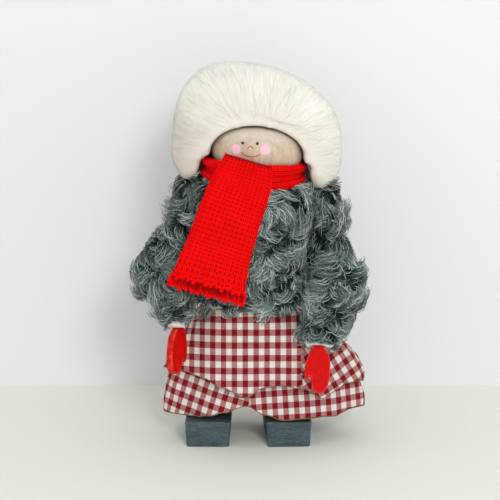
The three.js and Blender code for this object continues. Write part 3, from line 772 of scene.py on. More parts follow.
def turned_piece(name, profile, place, material, steps=96):
    """A lathe-turned piece from radii and heights."""
    turns = [2 * math.pi * k / steps for k in range(steps)]
    rows = [
        [place @ Vector((radius * math.cos(turn), radius * math.sin(turn), height)) for turn in turns]
        for radius, height in profile
    ]
    return new_piece(name, grid_mesh(name, rows), [material])


HEAD_RADIUS = 35 * MM
HEAD_HALF_HEIGHT = 20.6 * MM
HEAD_SQUARENESS = 0.92


def head_profile(steps=64):
    """Radius and height down the turned head, a little squarer than an ellipse."""
    profile = []
    for i in range(steps + 1):
        angle = math.radians(-90 + 180 * i / steps)
        rise = math.copysign(abs(math.sin(angle)) ** HEAD_SQUARENESS, math.sin(angle))
        radius = max(0.0, math.cos(angle)) ** HEAD_SQUARENESS
        profile.append((HEAD_RADIUS * radius, HEAD_HALF_HEIGHT * rise))
    return profile


def make_head():
    head = turned_piece("turned_head", head_profile(), HEAD_FRAME, painted_head())
    stands_for(head, "head", "head")


# Hair

HAIR_HALF_WIDTH, HAIR_HALF_HEIGHT, HAIR_MIDDLE_Z = 50, 44, 4 * MM
FACE_HALF_WIDTH, FACE_HALF_HEIGHT = 35.6, 21.2
ROLL_BACK, ROLL_WIDTH = -4 * MM, 0.42
SHADE_UNDER_ROLL, SHADE_LEFT, SHADE_RIGHT = 0.6, 0.34, 0.16
HAIR_INNER_LEFT, HAIR_INNER_RIGHT = 1.8 * MM, 1.6 * MM
# Where the outline is fuller or flatter: bearing round the face and width in degrees, and millimetres out
HAIR_SWELLS = ((132, 25, 5.2), (56, 27, -5.4), (-24, 11, 7.0), (206, 12, 9.0))
HAIR_ROLL, HAIR_FLUFF, HAIR_ENDS_OUT, HAIR_ENDS_DOWN = 4.0 * MM, 1.4 * MM, 2.2 * MM, 4.5 * MM


def make_hair():
    """The wool roll round the head, with the way it is combed kept on its points, and fibres on it."""
    to_head = HEAD_FRAME.inverted()
    base = new_piece("hair_roll", solid_copy("hair", "hair_roll"), [])
    rounded(base, 2.2 * MM, 6)
    up = HEAD_FRAME.to_3x3() @ Vector((0, 0, 1))
    sideways = HEAD_FRAME.to_3x3() @ Vector((1, 0, 0))
    ahead = Vector((0, -1, 0))
    comb, flow, deep, places = [], [], [], []
    for vertex in base.data.vertices:
        place, normal = vertex.co.copy(), vertex.normal.copy()
        local = to_head @ place
        outline = math.hypot(local.x / HAIR_HALF_WIDTH, (local.z - HAIR_MIDDLE_Z) / HAIR_HALF_HEIGHT) * 1000
        if local.y < ROLL_BACK:
            place += ahead * HAIR_ROLL * math.exp(-((outline - 1.0) / ROLL_WIDTH) ** 2)
        low = smooth_step(4, -22, local.z * 1000) * smooth_step(20, 50, abs(local.x) * 1000)
        rim = math.hypot(local.x / FACE_HALF_WIDTH, local.z / FACE_HALF_HEIGHT) * 1000
        clear = smooth_step(1.25, 1.6, rim)
        place += normal * (HAIR_FLUFF * clear + HAIR_ENDS_OUT * low) - up * (HAIR_ENDS_DOWN * low)
        radial = (HEAD_FRAME.to_3x3() @ Vector((local.x, 0, local.z))).normalized()
        bearing = math.degrees(math.atan2(local.z, local.x))
        for middle, width, out in HAIR_SWELLS:
            off = (bearing - middle + 180) % 360 - 180
            place += radial * out * MM * clear * math.exp(-((off / width) ** 2))
        inwards = -(to_head.to_3x3() @ normal).x * math.copysign(1, local.x)
        inner = HAIR_INNER_LEFT if local.x < 0 else HAIR_INNER_RIGHT
        place -= sideways * inner * low * smooth_step(0.0, 0.6, inwards)
        behind = smooth_step(10, 45, local.y * 1000)
        way = radial * (1 - behind) - ahead * (0.6 + 0.4 * (1 - behind)) - up * behind * 1.2
        flow.append(way.normalized())
        comb.append((math.atan2(local.z, local.x), local.y * 12, 0.0))
        # Painted shade kept as 'deep': a dark ring under the roll where it meets the face, and the lower
        # left and right sides darker.
        shaded = smooth_step(-9, -1, local.z * 1000) * smooth_step(8, 2, local.y * 1000)
        left = smooth_step(-22, -60, local.x * 1000) * smooth_step(45, 5, local.z * 1000)
        right = smooth_step(30, 62, local.x * 1000) * smooth_step(35, 0, local.z * 1000)
        under = (1 - smooth_step(0.96, 1.06, rim)) * shaded
        deep.append(max(SHADE_UNDER_ROLL * under, SHADE_LEFT * left, SHADE_RIGHT * right))
        places.append(place)
    for vertex, place in zip(base.data.vertices, places):
        vertex.co = place
    base.data.update()
    normals = [vertex.normal.copy() for vertex in base.data.vertices]
    flow = [(way - normal * way.dot(normal)).normalized() for way, normal in zip(flow, normals)]
    point_attribute(base.data, "flow", flow, "FLOAT_VECTOR")
    point_attribute(base.data, "comb", comb, "FLOAT_VECTOR")
    point_attribute(base.data, "deep", deep)
    point_attribute(base.data, "lot", [0.5] * len(deep))
    wool = combed_wool()
    base.data.materials.append(wool)
    grower = wool_grower()
    pieces = [base]
    for layer in range(2):
        fibres = grower.grown(
            f"hair_fibres_{layer + 1}", base, Fibres=110000.0, Length=20 * MM, Lift=0.22 * MM,
            Thickness=0.06 * MM, Seed=11 + layer, Material=wool,
        )
        pieces.append(fibres)
    for piece in pieces:
        stands_for(piece, "hair", "head")


# Fur coat

HIDE_DEPTH, CUFF_EASE = 4.5 * MM, 0.18
ROD_BORE, CUFF_BORE, CUFF_DEPTH = 5.4 * MM, 8.6 * MM, 6.5 * MM
HUB_RADIUS, HUB_HALF_WIDTH = 9.6 * MM, 5.8 * MM
BORE_REACH, BORE_TOP_Z = 0.0085, -0.006
HUB_REACH_ACROSS, HUB_REACH = 0.012, 0.0105
CUFF_BARE, CUFF_FURRY = 0.0012, 0.012
JACKET_HEM = 61 * MM


def hide_from(node, name, furry_at):
    """The hide under the fur: the solid drawn in by the fur's depth, marked where fur grows.

    furry_at gives how furry a point is and how far the hide is drawn in there, as shares.
    """
    base = new_piece(name, solid_copy(node, name), [])
    rounded(base, 2.6 * MM, 4)
    marks = []
    normals = [vertex.normal.copy() for vertex in base.data.vertices]
    for vertex, normal in zip(base.data.vertices, normals):
        share, drawn = furry_at(vertex.co, normal)
        marks.append(share)
        vertex.co -= normal * HIDE_DEPTH * min(1.0, drawn * 1.5)
    point_attribute(base.data, "furry", marks)
    point_attribute(base.data, "suede", [1.0 - min(1.0, mark * 3) for mark in marks])
    base.data.update()
    return base


def make_coat():
    """The coat's body and sleeves: hide, a short dense underlayer and long curls in separate layers."""
    to_body = LEANING.inverted()
    hide = fur_hide()
    fur = curly_fur()
    grower = fur_grower()

    def on_jacket(point, normal):
        local = to_body @ point
        turned = to_body.to_3x3() @ normal
        reach = math.hypot(local.x, local.y)
        facing = turned.dot(Vector((local.x, local.y, 0)).normalized())
        sides = smooth_step(-0.1, 0.3, facing) * smooth_step(0.032, 0.038, reach)
        top = smooth_step(0.2, 0.5, turned.z) * smooth_step(0.128, 0.134, local.z)
        hem = smooth_step(JACKET_HEM, JACKET_HEM + 16 * MM, local.z)
        hem = max(hem, smooth_step(-22 * MM, -36 * MM, local.x))
        share = max(sides, top * smooth_step(0.015, 0.018, reach)) * (0.6 + 0.4 * hem)
        return share, share * (1 - 0.75 * smooth_step(0.110, 0.126, local.z))

    def on_sleeve(place, outward_sign, sleeve_length):
        back = place.inverted()

        def furry_at(point, normal):
            local = back @ point
            facing = back.to_3x3() @ normal
            axis_distance = math.hypot(local.x, local.y)
            inwards = facing.x * local.x + facing.y * local.y < 0
            in_bore = inwards and axis_distance < BORE_REACH and local.z < BORE_TOP_Z
            outer = facing.x * outward_sign > 0.3
            near_hub = abs(local.x) < HUB_REACH_ACROSS and math.hypot(local.y, local.z) < HUB_REACH
            inside = in_bore or (near_hub and not outer)
            end = smooth_step(-sleeve_length + CUFF_BARE, -sleeve_length + CUFF_FURRY, local.z)
            inner = smooth_step(0.6, 0.9, -facing.x * outward_sign)
            top = smooth_step(-0.004, 0.02, local.z)
            share = 0 if inside else (1 - 0.08 * inner) * (1 - 0.15 * top) * end
            past_rod = axis_distance - (CUFF_BORE if local.z < CUFF_DEPTH - sleeve_length else ROD_BORE)
            past_hub = max(abs(local.x) - HUB_HALF_WIDTH, math.hypot(local.y, local.z) - HUB_RADIUS)
            room = past_rod if local.z < -HUB_RADIUS else past_hub
            drawn = max(share, CUFF_EASE) * (1 - 0.6 * top)
            return share, 0 if inside else min(drawn, max(0, room) / (HIDE_DEPTH * 1.5))
        return furry_at

    left_end, right_end = LEFT_ARM_LENGTH + SLEEVE_OVER_WRIST, RIGHT_ARM_LENGTH + SLEEVE_OVER_WRIST
    parts = (
        ("jacket_body", "torso", on_jacket, 4, 170000.0),
        ("left_sleeve", "left_arm", on_sleeve(LEFT_ARM_FRAME, -1, left_end), 3, 250000.0),
        ("right_sleeve", "right_arm", on_sleeve(RIGHT_ARM_FRAME, 1, right_end), 3, 250000.0),
    )
    for node, body, furry_at, layers, density in parts:
        base = hide_from(node, f"{node}_hide", furry_at)
        base.data.materials.append(hide)
        pieces = [base]
        for layer in range(layers):
            under = layer == 0
            strands = grower.grown(
                f"{node}_fur_{layer + 1}", base, Strands=density, Spacing=(5.0 if under else 10.0) * MM,
                Length=(9.0 if under else 20.0) * MM, Curl=1.6 if under else 2.9, Droop=0.05,
                Lift=0.62 if under else 0.36, Gather=0.35, Thickness=0.34 * MM,
                Seed=20 + layer * 7, Locks=4 if under else 9, Material=fur,
            )
            pieces.append(strands)
        for piece in pieces:
            stands_for(piece, node, body)


# Scarf

WRAP_HALF_WIDTH, WRAP_HALF_DEPTH, WRAP_LEFTWARD = 38 * MM, 40.2 * MM, 1.8 * MM
WRAP_HEIGHT, WRAP_SAG = 153.6 * MM, 2 * MM
WRAP_BAND, WRAP_FRONT_BAND, WRAP_THICKNESS = 15 * MM, 21 * MM, 7.2 * MM
WRAP_CREASE, WRAP_CREASE_WIDTH = 4.2 * MM, 2.6 * MM
TAIL_THICKNESS, TAIL_WALL = 8 * MM, 1.7 * MM
TAIL_FRONT_SHORTER, TAIL_COURSES, TAIL_WALES = 0.06, 32, 28
FOLD_OVER = 6.5 * MM
BACKING_INSET, YARN_RADIUS = 0.9 * MM, 0.215
TAIL_SQUARENESS, WRAP_SQUARENESS = 2.8, 2.6
WRAP_COURSES, WRAP_WALES = 84, 8
WRAP_KNIT_START, WRAP_KNIT_SPAN = math.radians(112), math.radians(-224)
LIP_FLARE, LIP_CURL, LIP_RUFFLE, LIP_RADIUS = 0.05, 0.9 * MM, 0.7 * MM, 1.15 * MM
# Down the hanging end: across, up, forwards and half its width, in millimetres, in the body's frame
TAIL_STATIONS = (
    (-6, 165, 48.3, 18.8), (-9, 152, 48.3, 22.3), (-12.3, 141, 48.5, 23.6), (-17.3, 124, 49.4, 24.2),
    (-22.3, 104, 51.6, 24.9), (-26.4, 88, 55.4, 26.3), (-31, 67, 62, 28.6),
)


def ring_point(angle, half_width, half_depth, squareness=2.0):
    across, along = math.cos(angle), math.sin(angle)
    return (
        half_width * math.copysign(abs(across) ** (2 / squareness), across),
        half_depth * math.copysign(abs(along) ** (2 / squareness), along),
    )


def spline(stations, share):
    """A smooth value through equally spaced stations."""
    place = min(max(share, 0.0), 1.0) * (len(stations) - 1)
    low = min(int(place), len(stations) - 2)
    t = place - low
    picked = [stations[min(max(low + step, 0), len(stations) - 1)] for step in (-1, 0, 1, 2)]
    before, start, end, after = (Vector(station) for station in picked)
    slope_a, slope_b = (end - before) / 2, (after - start) / 2
    t2, t3 = t * t, t * t * t
    value = start * (2 * t3 - 3 * t2 + 1) + end * (3 * t2 - 2 * t3)
    return value + slope_a * (t3 - 2 * t2 + t) + slope_b * (t3 - t2)


def tail_frame(share):
    """Middle, side and forward directions and half width of the hanging end, in metres."""
    here = spline(TAIL_STATIONS, share)
    step = 0.02
    ahead, behind = spline(TAIL_STATIONS, share + step), spline(TAIL_STATIONS, share - step)
    middle = Vector((here[0], -here[2], here[1])) * MM
    down = Vector((ahead[0] - behind[0], -(ahead[2] - behind[2]), ahead[1] - behind[1])).normalized()
    up = down.cross(Vector((1, 0, 0))).normalized()
    side = up.cross(down).normalized()
    return middle, side, up, down, here[3] * MM


def stitch_chart(name, points, turns, sizes):
    made = bpy.data.meshes.new(name)
    made.from_pydata([tuple(point) for point in points], [], [])
    point_attribute(made, "turn", turns, "FLOAT_VECTOR")
    point_attribute(made, "stitch", sizes, "FLOAT_VECTOR")
    return new_object(name, made)


def even_ring(half_width, half_depth, squareness, start, span, count):
    """Points at equal distances round part of a rounded-square ring."""
    fine = 720
    angles = [start + span * i / fine for i in range(fine + 1)]
    path = [Vector(ring_point(angle, half_width, half_depth, squareness)) for angle in angles]
    run = [0.0]
    for before, after in zip(path, path[1:]):
        run.append(run[-1] + (after - before).length)
    points = []
    low = 0
    for i in range(count):
        want = run[-1] * (i + 0.5) / count
        while run[low + 1] < want:
            low += 1
        share = (want - run[low]) / (run[low + 1] - run[low])
        points.append(path[low].lerp(path[low + 1], share))
    return points


STITCH_UNEVENNESS = 0.3


def knit_over(name, rows, looped):
    """A chart of stitches on rows of points; each stitch faces out and its V opens along the rows."""
    points, turns, sizes = [], [], []
    count = len(rows[0])
    for i in range(1, len(rows) - 1):
        for k in range(count):
            left, right = k - 1, (k + 1) % count
            if not looped:
                left, right = max(k - 1, 0), min(k + 1, count - 1)
            wale = rows[i + 1][k] - rows[i - 1][k]
            course = rows[i][right] - rows[i][left]
            facing = course.cross(wale).normalized()
            up = -wale.normalized()
            width = course.length / (2 if looped or 0 < k < count - 1 else 1)
            height = wale.length / 2
            chance = math.sin(i * 12.9898 + k * 78.233) * 43758.5453 % 1.0 - 0.5
            up = Matrix.Rotation(STITCH_UNEVENNESS * chance, 3, facing) @ up
            points.append(rows[i][k])
            turns.append(tuple(Matrix((up.cross(facing), up, facing)).transposed().to_euler()))
            depth = (width + height) * 0.36
            sizes.append((width * (1 - 0.12 * chance), height * (1.15 + 0.25 * chance), depth))
    return stitch_chart(name, points, turns, sizes)


def tube_round(path, radius, sides=8):
    """A closed cord through the points, with a small swelling for each stitch cast off."""
    count = len(path)
    rows = []
    for i, middle in enumerate(path):
        ahead = (path[(i + 1) % count] - path[i - 1]).normalized()
        across = ahead.cross(Vector((0, -0.3, 1))).normalized()
        up = across.cross(ahead)
        swell = radius * (0.78 + 0.22 * abs(math.sin(math.pi * i / 6)))
        turns = [2 * math.pi * k / sides for k in range(sides)]
        rows.append([middle + (across * math.cos(turn) + up * math.sin(turn)) * swell for turn in turns])
    return grid_mesh("cord", rows, closed_along=True)


def make_scarf():
    """One knitted tube as two pieces of cloth: the end that hangs in front, and the turn round the neck."""
    # The core under the stitches is painted a darker red as the shade between them.
    yarn, shaded_backing = red_yarn(), shaded_knit_backing()
    grower = stitch_grower()
    steps, around = 40, 48

    def tail_row(share, inset, count):
        half = tail_frame(share)[4]
        row = []
        deep = TAIL_THICKNESS / 2 - inset
        for x, y in even_ring(half - inset, deep, TAIL_SQUARENESS, 0.0, -2 * math.pi, count):
            front = smooth_step(-0.3, 0.3, y / deep)
            middle, side, up, down, here = tail_frame(share * (1 - TAIL_FRONT_SHORTER * front))
            lip = smooth_step(0.93, 1.0, share)
            y -= FOLD_OVER * (1 - front) * smooth_step(0.14, 0.0, share)
            ruffle = math.sin(x / half * 17 + front * 2) * LIP_RUFFLE * lip
            x *= here / half * (1 + LIP_FLARE * lip)
            rise = y + LIP_CURL * lip * front + ruffle
            row.append(LEANING @ (middle + side * x + up * rise + down * ruffle))
        return row

    outside = [tail_row(i / steps, BACKING_INSET, around) for i in range(steps + 1)]
    inside = [tail_row(i / steps, TAIL_WALL + 0.2 * MM, around) for i in range(steps, 15, -1)]
    tops = [[sum(outside[0], Vector()) / around] * around]
    floors = [[sum(inside[-1], Vector()) / around] * around]
    rows = tops + outside + inside + floors
    tail = new_piece("scarf_tail_backing", grid_mesh("scarf_tail_backing", rows), [shaded_backing])
    lip = new_piece("scarf_tail_lip", tube_round(tail_row(0.993, 1.0 * MM, 168), LIP_RADIUS), [yarn])
    courses = [0.015 + 0.985 * (i - 0.5) / TAIL_COURSES for i in range(TAIL_COURSES + 1)]
    rows = [tail_row(course, BACKING_INSET, TAIL_WALES) for course in courses]
    rows.append([last + (last - before) for last, before in zip(rows[-1], rows[-2])])
    chart = knit_over("tail_chart", rows, True)
    tail_stitches = grower.grown("scarf_tail_stitches", chart, Yarn=YARN_RADIUS, Material=yarn)
    bpy.data.objects.remove(chart)

    def wrap_row(around_share, inset, start, span, count):
        turn = 2 * math.pi * around_share
        front = max(0.0, -math.sin(turn)) ** 2
        half_band = between(WRAP_BAND, WRAP_FRONT_BAND, front) / 2
        half = WRAP_THICKNESS / 2 - inset
        ring = even_ring(half, half_band - inset, WRAP_SQUARENESS, start, span, count)
        row = []
        for across, up in ring:
            if across > 0:
                across -= WRAP_CREASE * math.exp(-((up / WRAP_CREASE_WIDTH) ** 2))
            x, y = ring_point(turn, WRAP_HALF_WIDTH + across, WRAP_HALF_DEPTH + across)
            row.append(LEANING @ Vector((x - WRAP_LEFTWARD, y, WRAP_HEIGHT - WRAP_SAG * front + up)))
        return row

    rounds = 120
    wrap_rows = [wrap_row(i / rounds, BACKING_INSET, 0.0, 2 * math.pi, 24) for i in range(rounds)]
    made = grid_mesh("scarf_wrap_backing", wrap_rows, closed_along=True)
    wrap = new_piece("scarf_wrap_backing", made, [shaded_backing])
    rows = [
        wrap_row(i / WRAP_COURSES, BACKING_INSET, WRAP_KNIT_START, WRAP_KNIT_SPAN, WRAP_WALES)
        for i in range(-1, WRAP_COURSES + 1)
    ]
    chart = knit_over("wrap_chart", rows, False)
    wrap_stitches = grower.grown("scarf_wrap_stitches", chart, Yarn=YARN_RADIUS, Material=yarn)
    bpy.data.objects.remove(chart)

    knitted = (
        (tail, "scarf_tail"), (lip, "scarf_tail"), (tail_stitches, "scarf_tail"),
        (wrap, "scarf_wrap"), (wrap_stitches, "scarf_wrap"),
    )
    for piece, node in knitted:
        stands_for(piece, node, "torso")


# Skirts

CAMERA_TILT = math.radians(12)
WAIST_Z, WAIST_X, TUCK_DEPTH = 121.0, -2.3, 15.0
HEM_WAVE_HEIGHT, FOLD_DEPTH, FOLD_COUNT, FOLD_START = 9.0, 3.2, 6, 1.0
PLEAT_DEPTH, PLEAT_TURN, PLEAT_WIDTH = 9.0, 0.175, 0.045
CLOTH_THICKNESS = 0.9
SKIRT_FULLNESS = 1.6
START_OF_TURN = 0.75
# Waist, reach at the hem to each side and hem height in millimetres; panels of the cloth that lie turned,
# each from one share of a turn to another, with its angle, the part that shows flat and where it starts
SKIRTS = {
    "overskirt": {
        "waist": (36.4, 34.4), "left": 66.0, "right": 88.0, "front": 42.0, "back": 46.0, "hem": 52.0,
        "left_square": 2.2,
        "panels": ((0.0, 0.25, 30, 0.03, 0.25, 38), (0.0, 0.62, 0, 0.05, 0.42, -99)),
        "waves": (
            -0.79, -0.58, -0.47, -0.34, -0.56, -1.14, -0.2, 0.04, -0.09, -0.91, -0.05, 0.56, 0.72, 0.82,
            0.87, 0.71, 0.45, 0.4, 0.4, 0.45, 0.5, 0.4, 0.3, 0.2, 0.1, 0.2, 0.2, 0.1, -0.05, -0.15,
            -0.35, -0.6,
        ),
    },
    "underskirt": {
        "waist": (32.9, 30.9), "left": 66.0, "right": 89.0, "front": 36.5, "back": 40.0, "hem": 30.0,
        "left_square": 1.8,
        "panels": ((0.0, 0.275, 4, 0.03, 0.275, -99), (0.275, 0.62, -17, 0.275, 0.43, -99)),
        "waves": (
            -0.67, -0.53, -0.47, -0.48, -0.63, -0.52, -0.64, -0.83, -0.3, 0.58, -0.01, -0.48, -0.8, -0.92,
            -1.0, -1.05, -1.0, -0.95, -0.9, -0.8, -0.65, -0.5, -0.3, -0.1, 0.0, 0.0, -0.1, -0.15,
            -0.25, -0.35, -0.45, -0.6,
        ),
    },
}


def bell(fall):
    """How far the skirt has spread at a share of its fall."""
    return 1 - (1 - min(1.0, max(0.0, fall))) ** SKIRT_FULLNESS


def round_the_hem(waves, turn):
    place = (turn % 1.0) * len(waves)
    low = int(place) % len(waves)
    blend = (1 - math.cos((place - int(place)) * math.pi)) / 2
    return waves[low] * (1 - blend) + waves[(low + 1) % len(waves)] * blend


def skirt_point(size, turn, down, inset):
    """A point of a skirt: share of a turn from the right side through the front, and share of the drop."""
    angle = -turn * 2 * math.pi
    hem = size["hem"] + HEM_WAVE_HEIGHT * round_the_hem(size["waves"], turn)
    z = between(WAIST_Z, hem, down)
    tuck = WAIST_Z - TUCK_DEPTH
    fall = (tuck - z) / (tuck - size["hem"])
    spread = bell(fall)
    left = between(size["waist"][0] - WAIST_X, size["left"], spread)
    right = between(size["waist"][0] + WAIST_X, size["right"], spread)
    depth = between(size["waist"][1], size["front"] if math.sin(angle) < 0 else size["back"], spread)
    square = 2 + (size["left_square"] - 2) * max(0.0, -math.cos(angle)) ** 2
    x, y = ring_point(angle, (left + right) / 2, depth, square)
    reach = math.hypot(x, y)
    pleat = PLEAT_DEPTH * math.exp(-(((turn - PLEAT_TURN) / PLEAT_WIDTH) ** 2))
    wave = FOLD_DEPTH * math.sin(angle * FOLD_COUNT + FOLD_START)
    crease = 0.5 * math.sin(angle * 23 + 0.08 * z) * math.sin(0.21 * z + angle * 5)
    shift = (wave - pleat + crease) * spread - inset
    out = 1 + shift / reach
    return Vector(((right - left) / 2 + x * out, y * out, z)) * MM + CENTRE_SHIFT


def make_skirt(name, material):
    size = SKIRTS[name]
    steps, drops = 288, 44
    outside = [
        [skirt_point(size, START_OF_TURN + k / steps, i / drops, 0.0) for k in range(steps)]
        for i in range(drops + 1)
    ]
    inside = [
        [skirt_point(size, START_OF_TURN + k / steps, i / drops, CLOTH_THICKNESS) for k in range(steps)]
        for i in range(drops, -1, -1)
    ]
    middle = steps // 2
    lengths = []
    for row in outside:
        run = [0.0]
        for k in range(steps):
            run.append(run[-1] + (row[(k + 1) % steps] - row[k]).length)
        lengths.append([value - run[middle] for value in run])
    falls = [[0.0] * (steps + 1)]
    for i in range(drops):
        falls.append([falls[-1][k] + (outside[i + 1][k % steps] - outside[i][k % steps]).length
                      for k in range(steps + 1)])

    def cloth_place(row, column, strip):
        """Place on the flat cloth; each panel between two seams is turned as a whole."""
        i = row if row <= drops else 2 * drops + 1 - row
        i = max(i, 0)
        turn = (START_OF_TURN + (strip + 0.5) / steps) % 1.0
        slant, core = 0.0, None
        across = outside[i][strip].x
        for first, last, degrees, core_first, core_last, from_x in size["panels"]:
            if core is None and first <= turn < last and across > from_x * MM:
                slant = math.radians(degrees)
                core = [int((share + 0.25) * steps) for share in (core_first, core_last)]
        du, v = lengths[i][column], falls[i][column]
        if core:
            near = min(max(column if column < 1.2 * steps else column - steps, core[0]), core[1])
            spot = outside[i][near % steps]
            here = outside[i][column % steps]
            du = spot.x - (lengths[i][column] - lengths[i][near])
            v = -here.z * math.cos(CAMERA_TILT) - here.y * math.sin(CAMERA_TILT)
        return (du * math.cos(slant) - v * math.sin(slant), v * math.cos(slant) + du * math.sin(slant))

    made = grid_mesh(name, outside + inside, closed_along=True, uv=cloth_place)
    area = sum((lengths[i][-1] - lengths[i][0]) * (falls[i + 1][0] - falls[i][0]) for i in range(drops))
    hem = [steps * drops + k for k in range(2 * steps)]
    # The hem rows carry a dark line: the cut edge with a painted shadow under it.
    point_attribute(made, "raw_edge_and_shadow", [0.0] * len(made.vertices))
    for index in hem:
        made.attributes["raw_edge_and_shadow"].data[index].value = 1.0
    skirt = new_piece(f"{name}_cloth", made, [material])
    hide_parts(name)
    width = lengths[-1][-1] - lengths[-1][0]
    length = max(falls[-1])
    area = min(area, width * length)
    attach(skirt, "torso")


# Mittens

MITTEN_LENGTH, MITTEN_WIDTH, MITTEN_THICKNESS = 43.6 * MM, 19.5 * MM, 5.5 * MM
MITTEN_OUTLINE = (
    (-0.2, 0), (-0.21, 0.19), (-0.31, 0.28), (-0.43, 0.42), (-0.49, 0.58), (-0.48, 0.72), (-0.38, 0.78),
    (-0.29, 0.73), (-0.24, 0.76), (-0.2, 0.88), (-0.07, 0.985), (0.13, 1), (0.35, 0.95), (0.47, 0.8),
    (0.5, 0.6), (0.46, 0.4), (0.35, 0.28), (0.21, 0.19), (0.2, 0),
)
LEFT_MITTEN_TURN = math.radians(-125)
# Across the board's thickness: depth as a share, millimetres that the outline is drawn in, and how much
# paint is rubbed off with a painted highlight there
EASED_EDGE = (
    (-1, 1.3, 0), (-1, 0.8, 0.5), (-1, 0.45, 1), (-0.9, 0.15, 1), (-0.68, 0, 0.8), (0, 0, 0.2),
    (0.68, 0, 0.8), (0.9, 0.15, 1), (1, 0.45, 1), (1, 0.8, 0.5), (1, 1.3, 0),
)


def drawn_in(outline, distance):
    """The outline moved inwards; where it would cross itself, points wait at the last good place."""
    count = len(outline)
    ring = []
    for i, point in enumerate(outline):
        tangent = (outline[(i + 1) % count] - outline[i - 1]).normalized()
        ring.append(point + Vector((-tangent.z, 0, tangent.x)) * distance)
    good = [all((moved - point).length > distance * 0.97 for point in outline) for moved in ring]
    for i in range(2 * count):
        if not good[i % count] and good[i % count - 1]:
            ring[i % count], good[i % count] = ring[i % count - 1], True
    return ring


def make_mitten(node, place, arm_length, turn, body, material):
    """A sawn board with eased edges: its outline in rings from face to face, drawn in at both faces."""
    seated = place @ Matrix.Rotation(turn, 4, "Z")
    steps = len(MITTEN_OUTLINE) * 6
    outline = []
    for i in range(steps):
        across, down = spline(MITTEN_OUTLINE, i / (steps - 1))
        outline.append(Vector((across * MITTEN_WIDTH, 0, -arm_length - WRIST_GAP - down * MITTEN_LENGTH)))
    following = outline[1:] + outline[:1]
    outline = [point for point, after in zip(outline, following) if (point - after).length > 1e-5]
    work = bmesh.new()
    edge = work.verts.layers.float.new("edge")
    rings = []
    half = MITTEN_THICKNESS / 2
    for depth, drawn, mark in EASED_EDGE:
        ring = []
        for point in drawn_in(outline, drawn * MM):
            vertex = work.verts.new(seated @ (point + Vector((0, depth * half, 0))))
            vertex[edge] = mark
            ring.append(vertex)
        rings.append(ring)
    for lower, upper in zip(rings, rings[1:]):
        for i in range(len(outline)):
            j = (i + 1) % len(outline)
            work.faces.new((lower[i], lower[j], upper[j], upper[i]))
    work.faces.new(rings[0])
    work.faces.new(rings[-1])
    bmesh.ops.remove_doubles(work, verts=work.verts, dist=1e-6)
    bmesh.ops.recalc_face_normals(work, faces=work.faces)
    made = bpy.data.meshes.new(f"{node}_board")
    work.to_mesh(made)
    work.free()
    mitten = new_piece(f"{node}_board", made, [material])
    mitten.data.set_sharp_from_angle(angle=math.radians(50))
    stands_for(mitten, node, body)


# Shoes

SHOE_WIDTH, SHOE_LENGTH, SHOE_HEIGHT, SHOE_TAPER = 36 * MM, 55 * MM, 20 * MM, 0.92
SHOE_FRONT_Y = -30 * MM
SHOE_CORNER, SHOE_EDGE = 2.2 * MM, 0.7 * MM
LEFT_SHOE_X, LEFT_SHOE_TURN = -32.5 * MM, -1
RIGHT_SHOE_X, RIGHT_SHOE_TURN = 29 * MM, 3


def make_shoe(side, across, turn):
    """A sawn block with eased corners and edges, a little narrower at the sole."""
    work = bmesh.new()
    bmesh.ops.create_cube(work, size=1.0)
    bmesh.ops.scale(work, verts=work.verts, vec=(SHOE_WIDTH, SHOE_LENGTH, SHOE_HEIGHT))
    bmesh.ops.translate(work, verts=work.verts, vec=(0, 0, SHOE_HEIGHT / 2))
    upright = [edge for edge in work.edges if abs(edge.verts[0].co.z - edge.verts[1].co.z) > SHOE_HEIGHT / 2]
    bmesh.ops.bevel(work, geom=upright, offset=SHOE_CORNER, segments=4, profile=0.5, affect="EDGES")
    level = [edge for edge in work.edges if abs(edge.verts[0].co.z - edge.verts[1].co.z) < 1e-6]
    bmesh.ops.bevel(work, geom=level, offset=SHOE_EDGE, segments=3, profile=0.5, affect="EDGES")
    place = Matrix.Translation(Vector((across, SHOE_FRONT_Y + SHOE_LENGTH / 2, 0)) + CENTRE_SHIFT)
    place = place @ Matrix.Rotation(math.radians(turn), 4, "Z")
    for vertex in work.verts:
        vertex.co.x *= between(SHOE_TAPER, 1.0, vertex.co.z / SHOE_HEIGHT)
        vertex.co = place @ vertex.co
    bmesh.ops.recalc_face_normals(work, faces=work.faces)
    made = bpy.data.meshes.new(f"{side}_shoe_block")
    work.to_mesh(made)
    work.free()
    middle = place @ Vector((0, 0, SHOE_HEIGHT / 2))
    half = (SHOE_WIDTH / 2 * 0.97, SHOE_LENGTH / 2, SHOE_HEIGHT / 2)
    shoe = new_piece(f"{side}_shoe_block", made, [stained_shoe_wood(middle, half)])
    shoe.data.set_sharp_from_angle(angle=math.radians(40))
    stands_for(shoe, f"{side}_shoe", "torso")


# Photograph's view, light and room

CAMERA_PLACE = Vector((0, -978.1, 357.9)) * MM + CENTRE_SHIFT
CAMERA_LENS = 92.3
CAMERA_SENSOR, CAMERA_SHIFT_UP = 36, 0.0026
WALL_Y, ROOM_REACH = 130 * MM, 3.0
DAYLIGHT = 0.82


def make_camera():
    data = bpy.data.cameras.new("view")
    data.lens = CAMERA_LENS
    data.sensor_width = CAMERA_SENSOR
    data.shift_y = CAMERA_SHIFT_UP
    camera = new_object("view", data)
    camera.location = CAMERA_PLACE
    camera.rotation_euler = (math.pi / 2 - CAMERA_TILT, 0, 0)
    bpy.context.scene.camera = camera


def soft_lamp(name, place, aim, size, power):
    data = bpy.data.lights.new(name, "AREA")
    data.energy = power
    data.size = size
    lamp = new_object(name, data)
    lamp.location = place
    lamp.rotation_euler = (Vector(aim) - Vector(place)).to_track_quat("-Z", "Y").to_euler()


def matt_paint(name, colour):
    finish = Finish(name, Roughness=0.9)
    finish.paint(Base_Color=colour)
    return finish


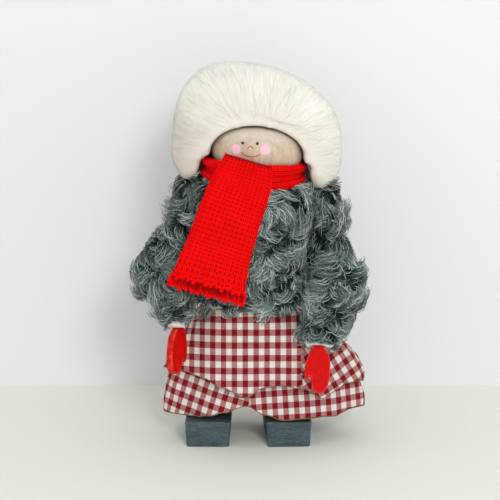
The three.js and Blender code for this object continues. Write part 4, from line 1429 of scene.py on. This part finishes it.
def room_side(name, low, high, finish):
    """A rectangle of the room between two corners, level from its left to its right."""
    made = bpy.data.meshes.new(name)
    corners = [low, (high[0], low[1], low[2]), high, (low[0], high[1], high[2])]
    made.from_pydata(corners, [], [(0, 1, 2, 3)])
    return new_piece(name, made, [finish.material], smooth=False)


def make_room():
    table = matt_paint("pale_table", rgb(0.83, 0.84, 0.775))
    floor = room_side("table_top", (-ROOM_REACH, -ROOM_REACH, 0), (ROOM_REACH, WALL_Y, 0), table)
    paint = matt_paint("pale_wall", rgb(0.80, 0.81, 0.825))
    clear = paint.node("ShaderNodeBsdfTransparent")
    behind = paint.node("ShaderNodeNewGeometry", out="Backfacing")
    lit = Port(paint, paint.shader.outputs[0])
    seen = paint.node("ShaderNodeMixShader", {0: behind, 1: lit, 2: clear})
    paint.feed(paint.tree.nodes["Material Output"].inputs["Surface"], seen)
    wall = room_side("wall", (-ROOM_REACH, WALL_Y, 0), (ROOM_REACH, WALL_Y, ROOM_REACH), paint)
    world = bpy.data.worlds.new("soft_daylight")
    world.use_nodes = True
    sky = world.node_tree.nodes["Background"]
    sky.inputs["Color"].default_value = rgb(1, 1, 1)
    sky.inputs["Strength"].default_value = DAYLIGHT
    bpy.context.scene.world = world
    soft_lamp("key", place=(0.40, -1.5, 0.95), aim=(0.1, 0, 0.15), size=0.45, power=9.5)
    soft_lamp("fill", place=(0.1, -1.5, 0.35), aim=(0, 0, 0.1), size=0.9, power=1.6)
    bpy.context.scene.view_settings.view_transform = "Standard"


def main():
    make_camera()
    make_room()
    make_head()
    make_hair()
    make_coat()
    make_scarf()
    cloth = gingham()
    make_skirt("overskirt", cloth)
    make_skirt("underskirt", cloth)
    red = painted_mitten_wood()
    make_mitten("left_mitten", LEFT_ARM_FRAME, LEFT_ARM_LENGTH, LEFT_MITTEN_TURN, "left_hand", red)
    make_mitten("right_mitten", RIGHT_ARM_FRAME, RIGHT_ARM_LENGTH, 0.0, "right_hand", red)
    make_shoe("left", LEFT_SHOE_X, LEFT_SHOE_TURN)
    make_shoe("right", RIGHT_SHOE_X, RIGHT_SHOE_TURN)
    wood = bare_wood()
    plain = ("neck_dowel", "body_core", "shoulder_axle", "left_leg", "right_leg", "left_arm", "right_arm")
    for node in plain:
        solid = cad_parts[node]
        solid.data.materials.clear()
        solid.data.materials.append(wood)


main()
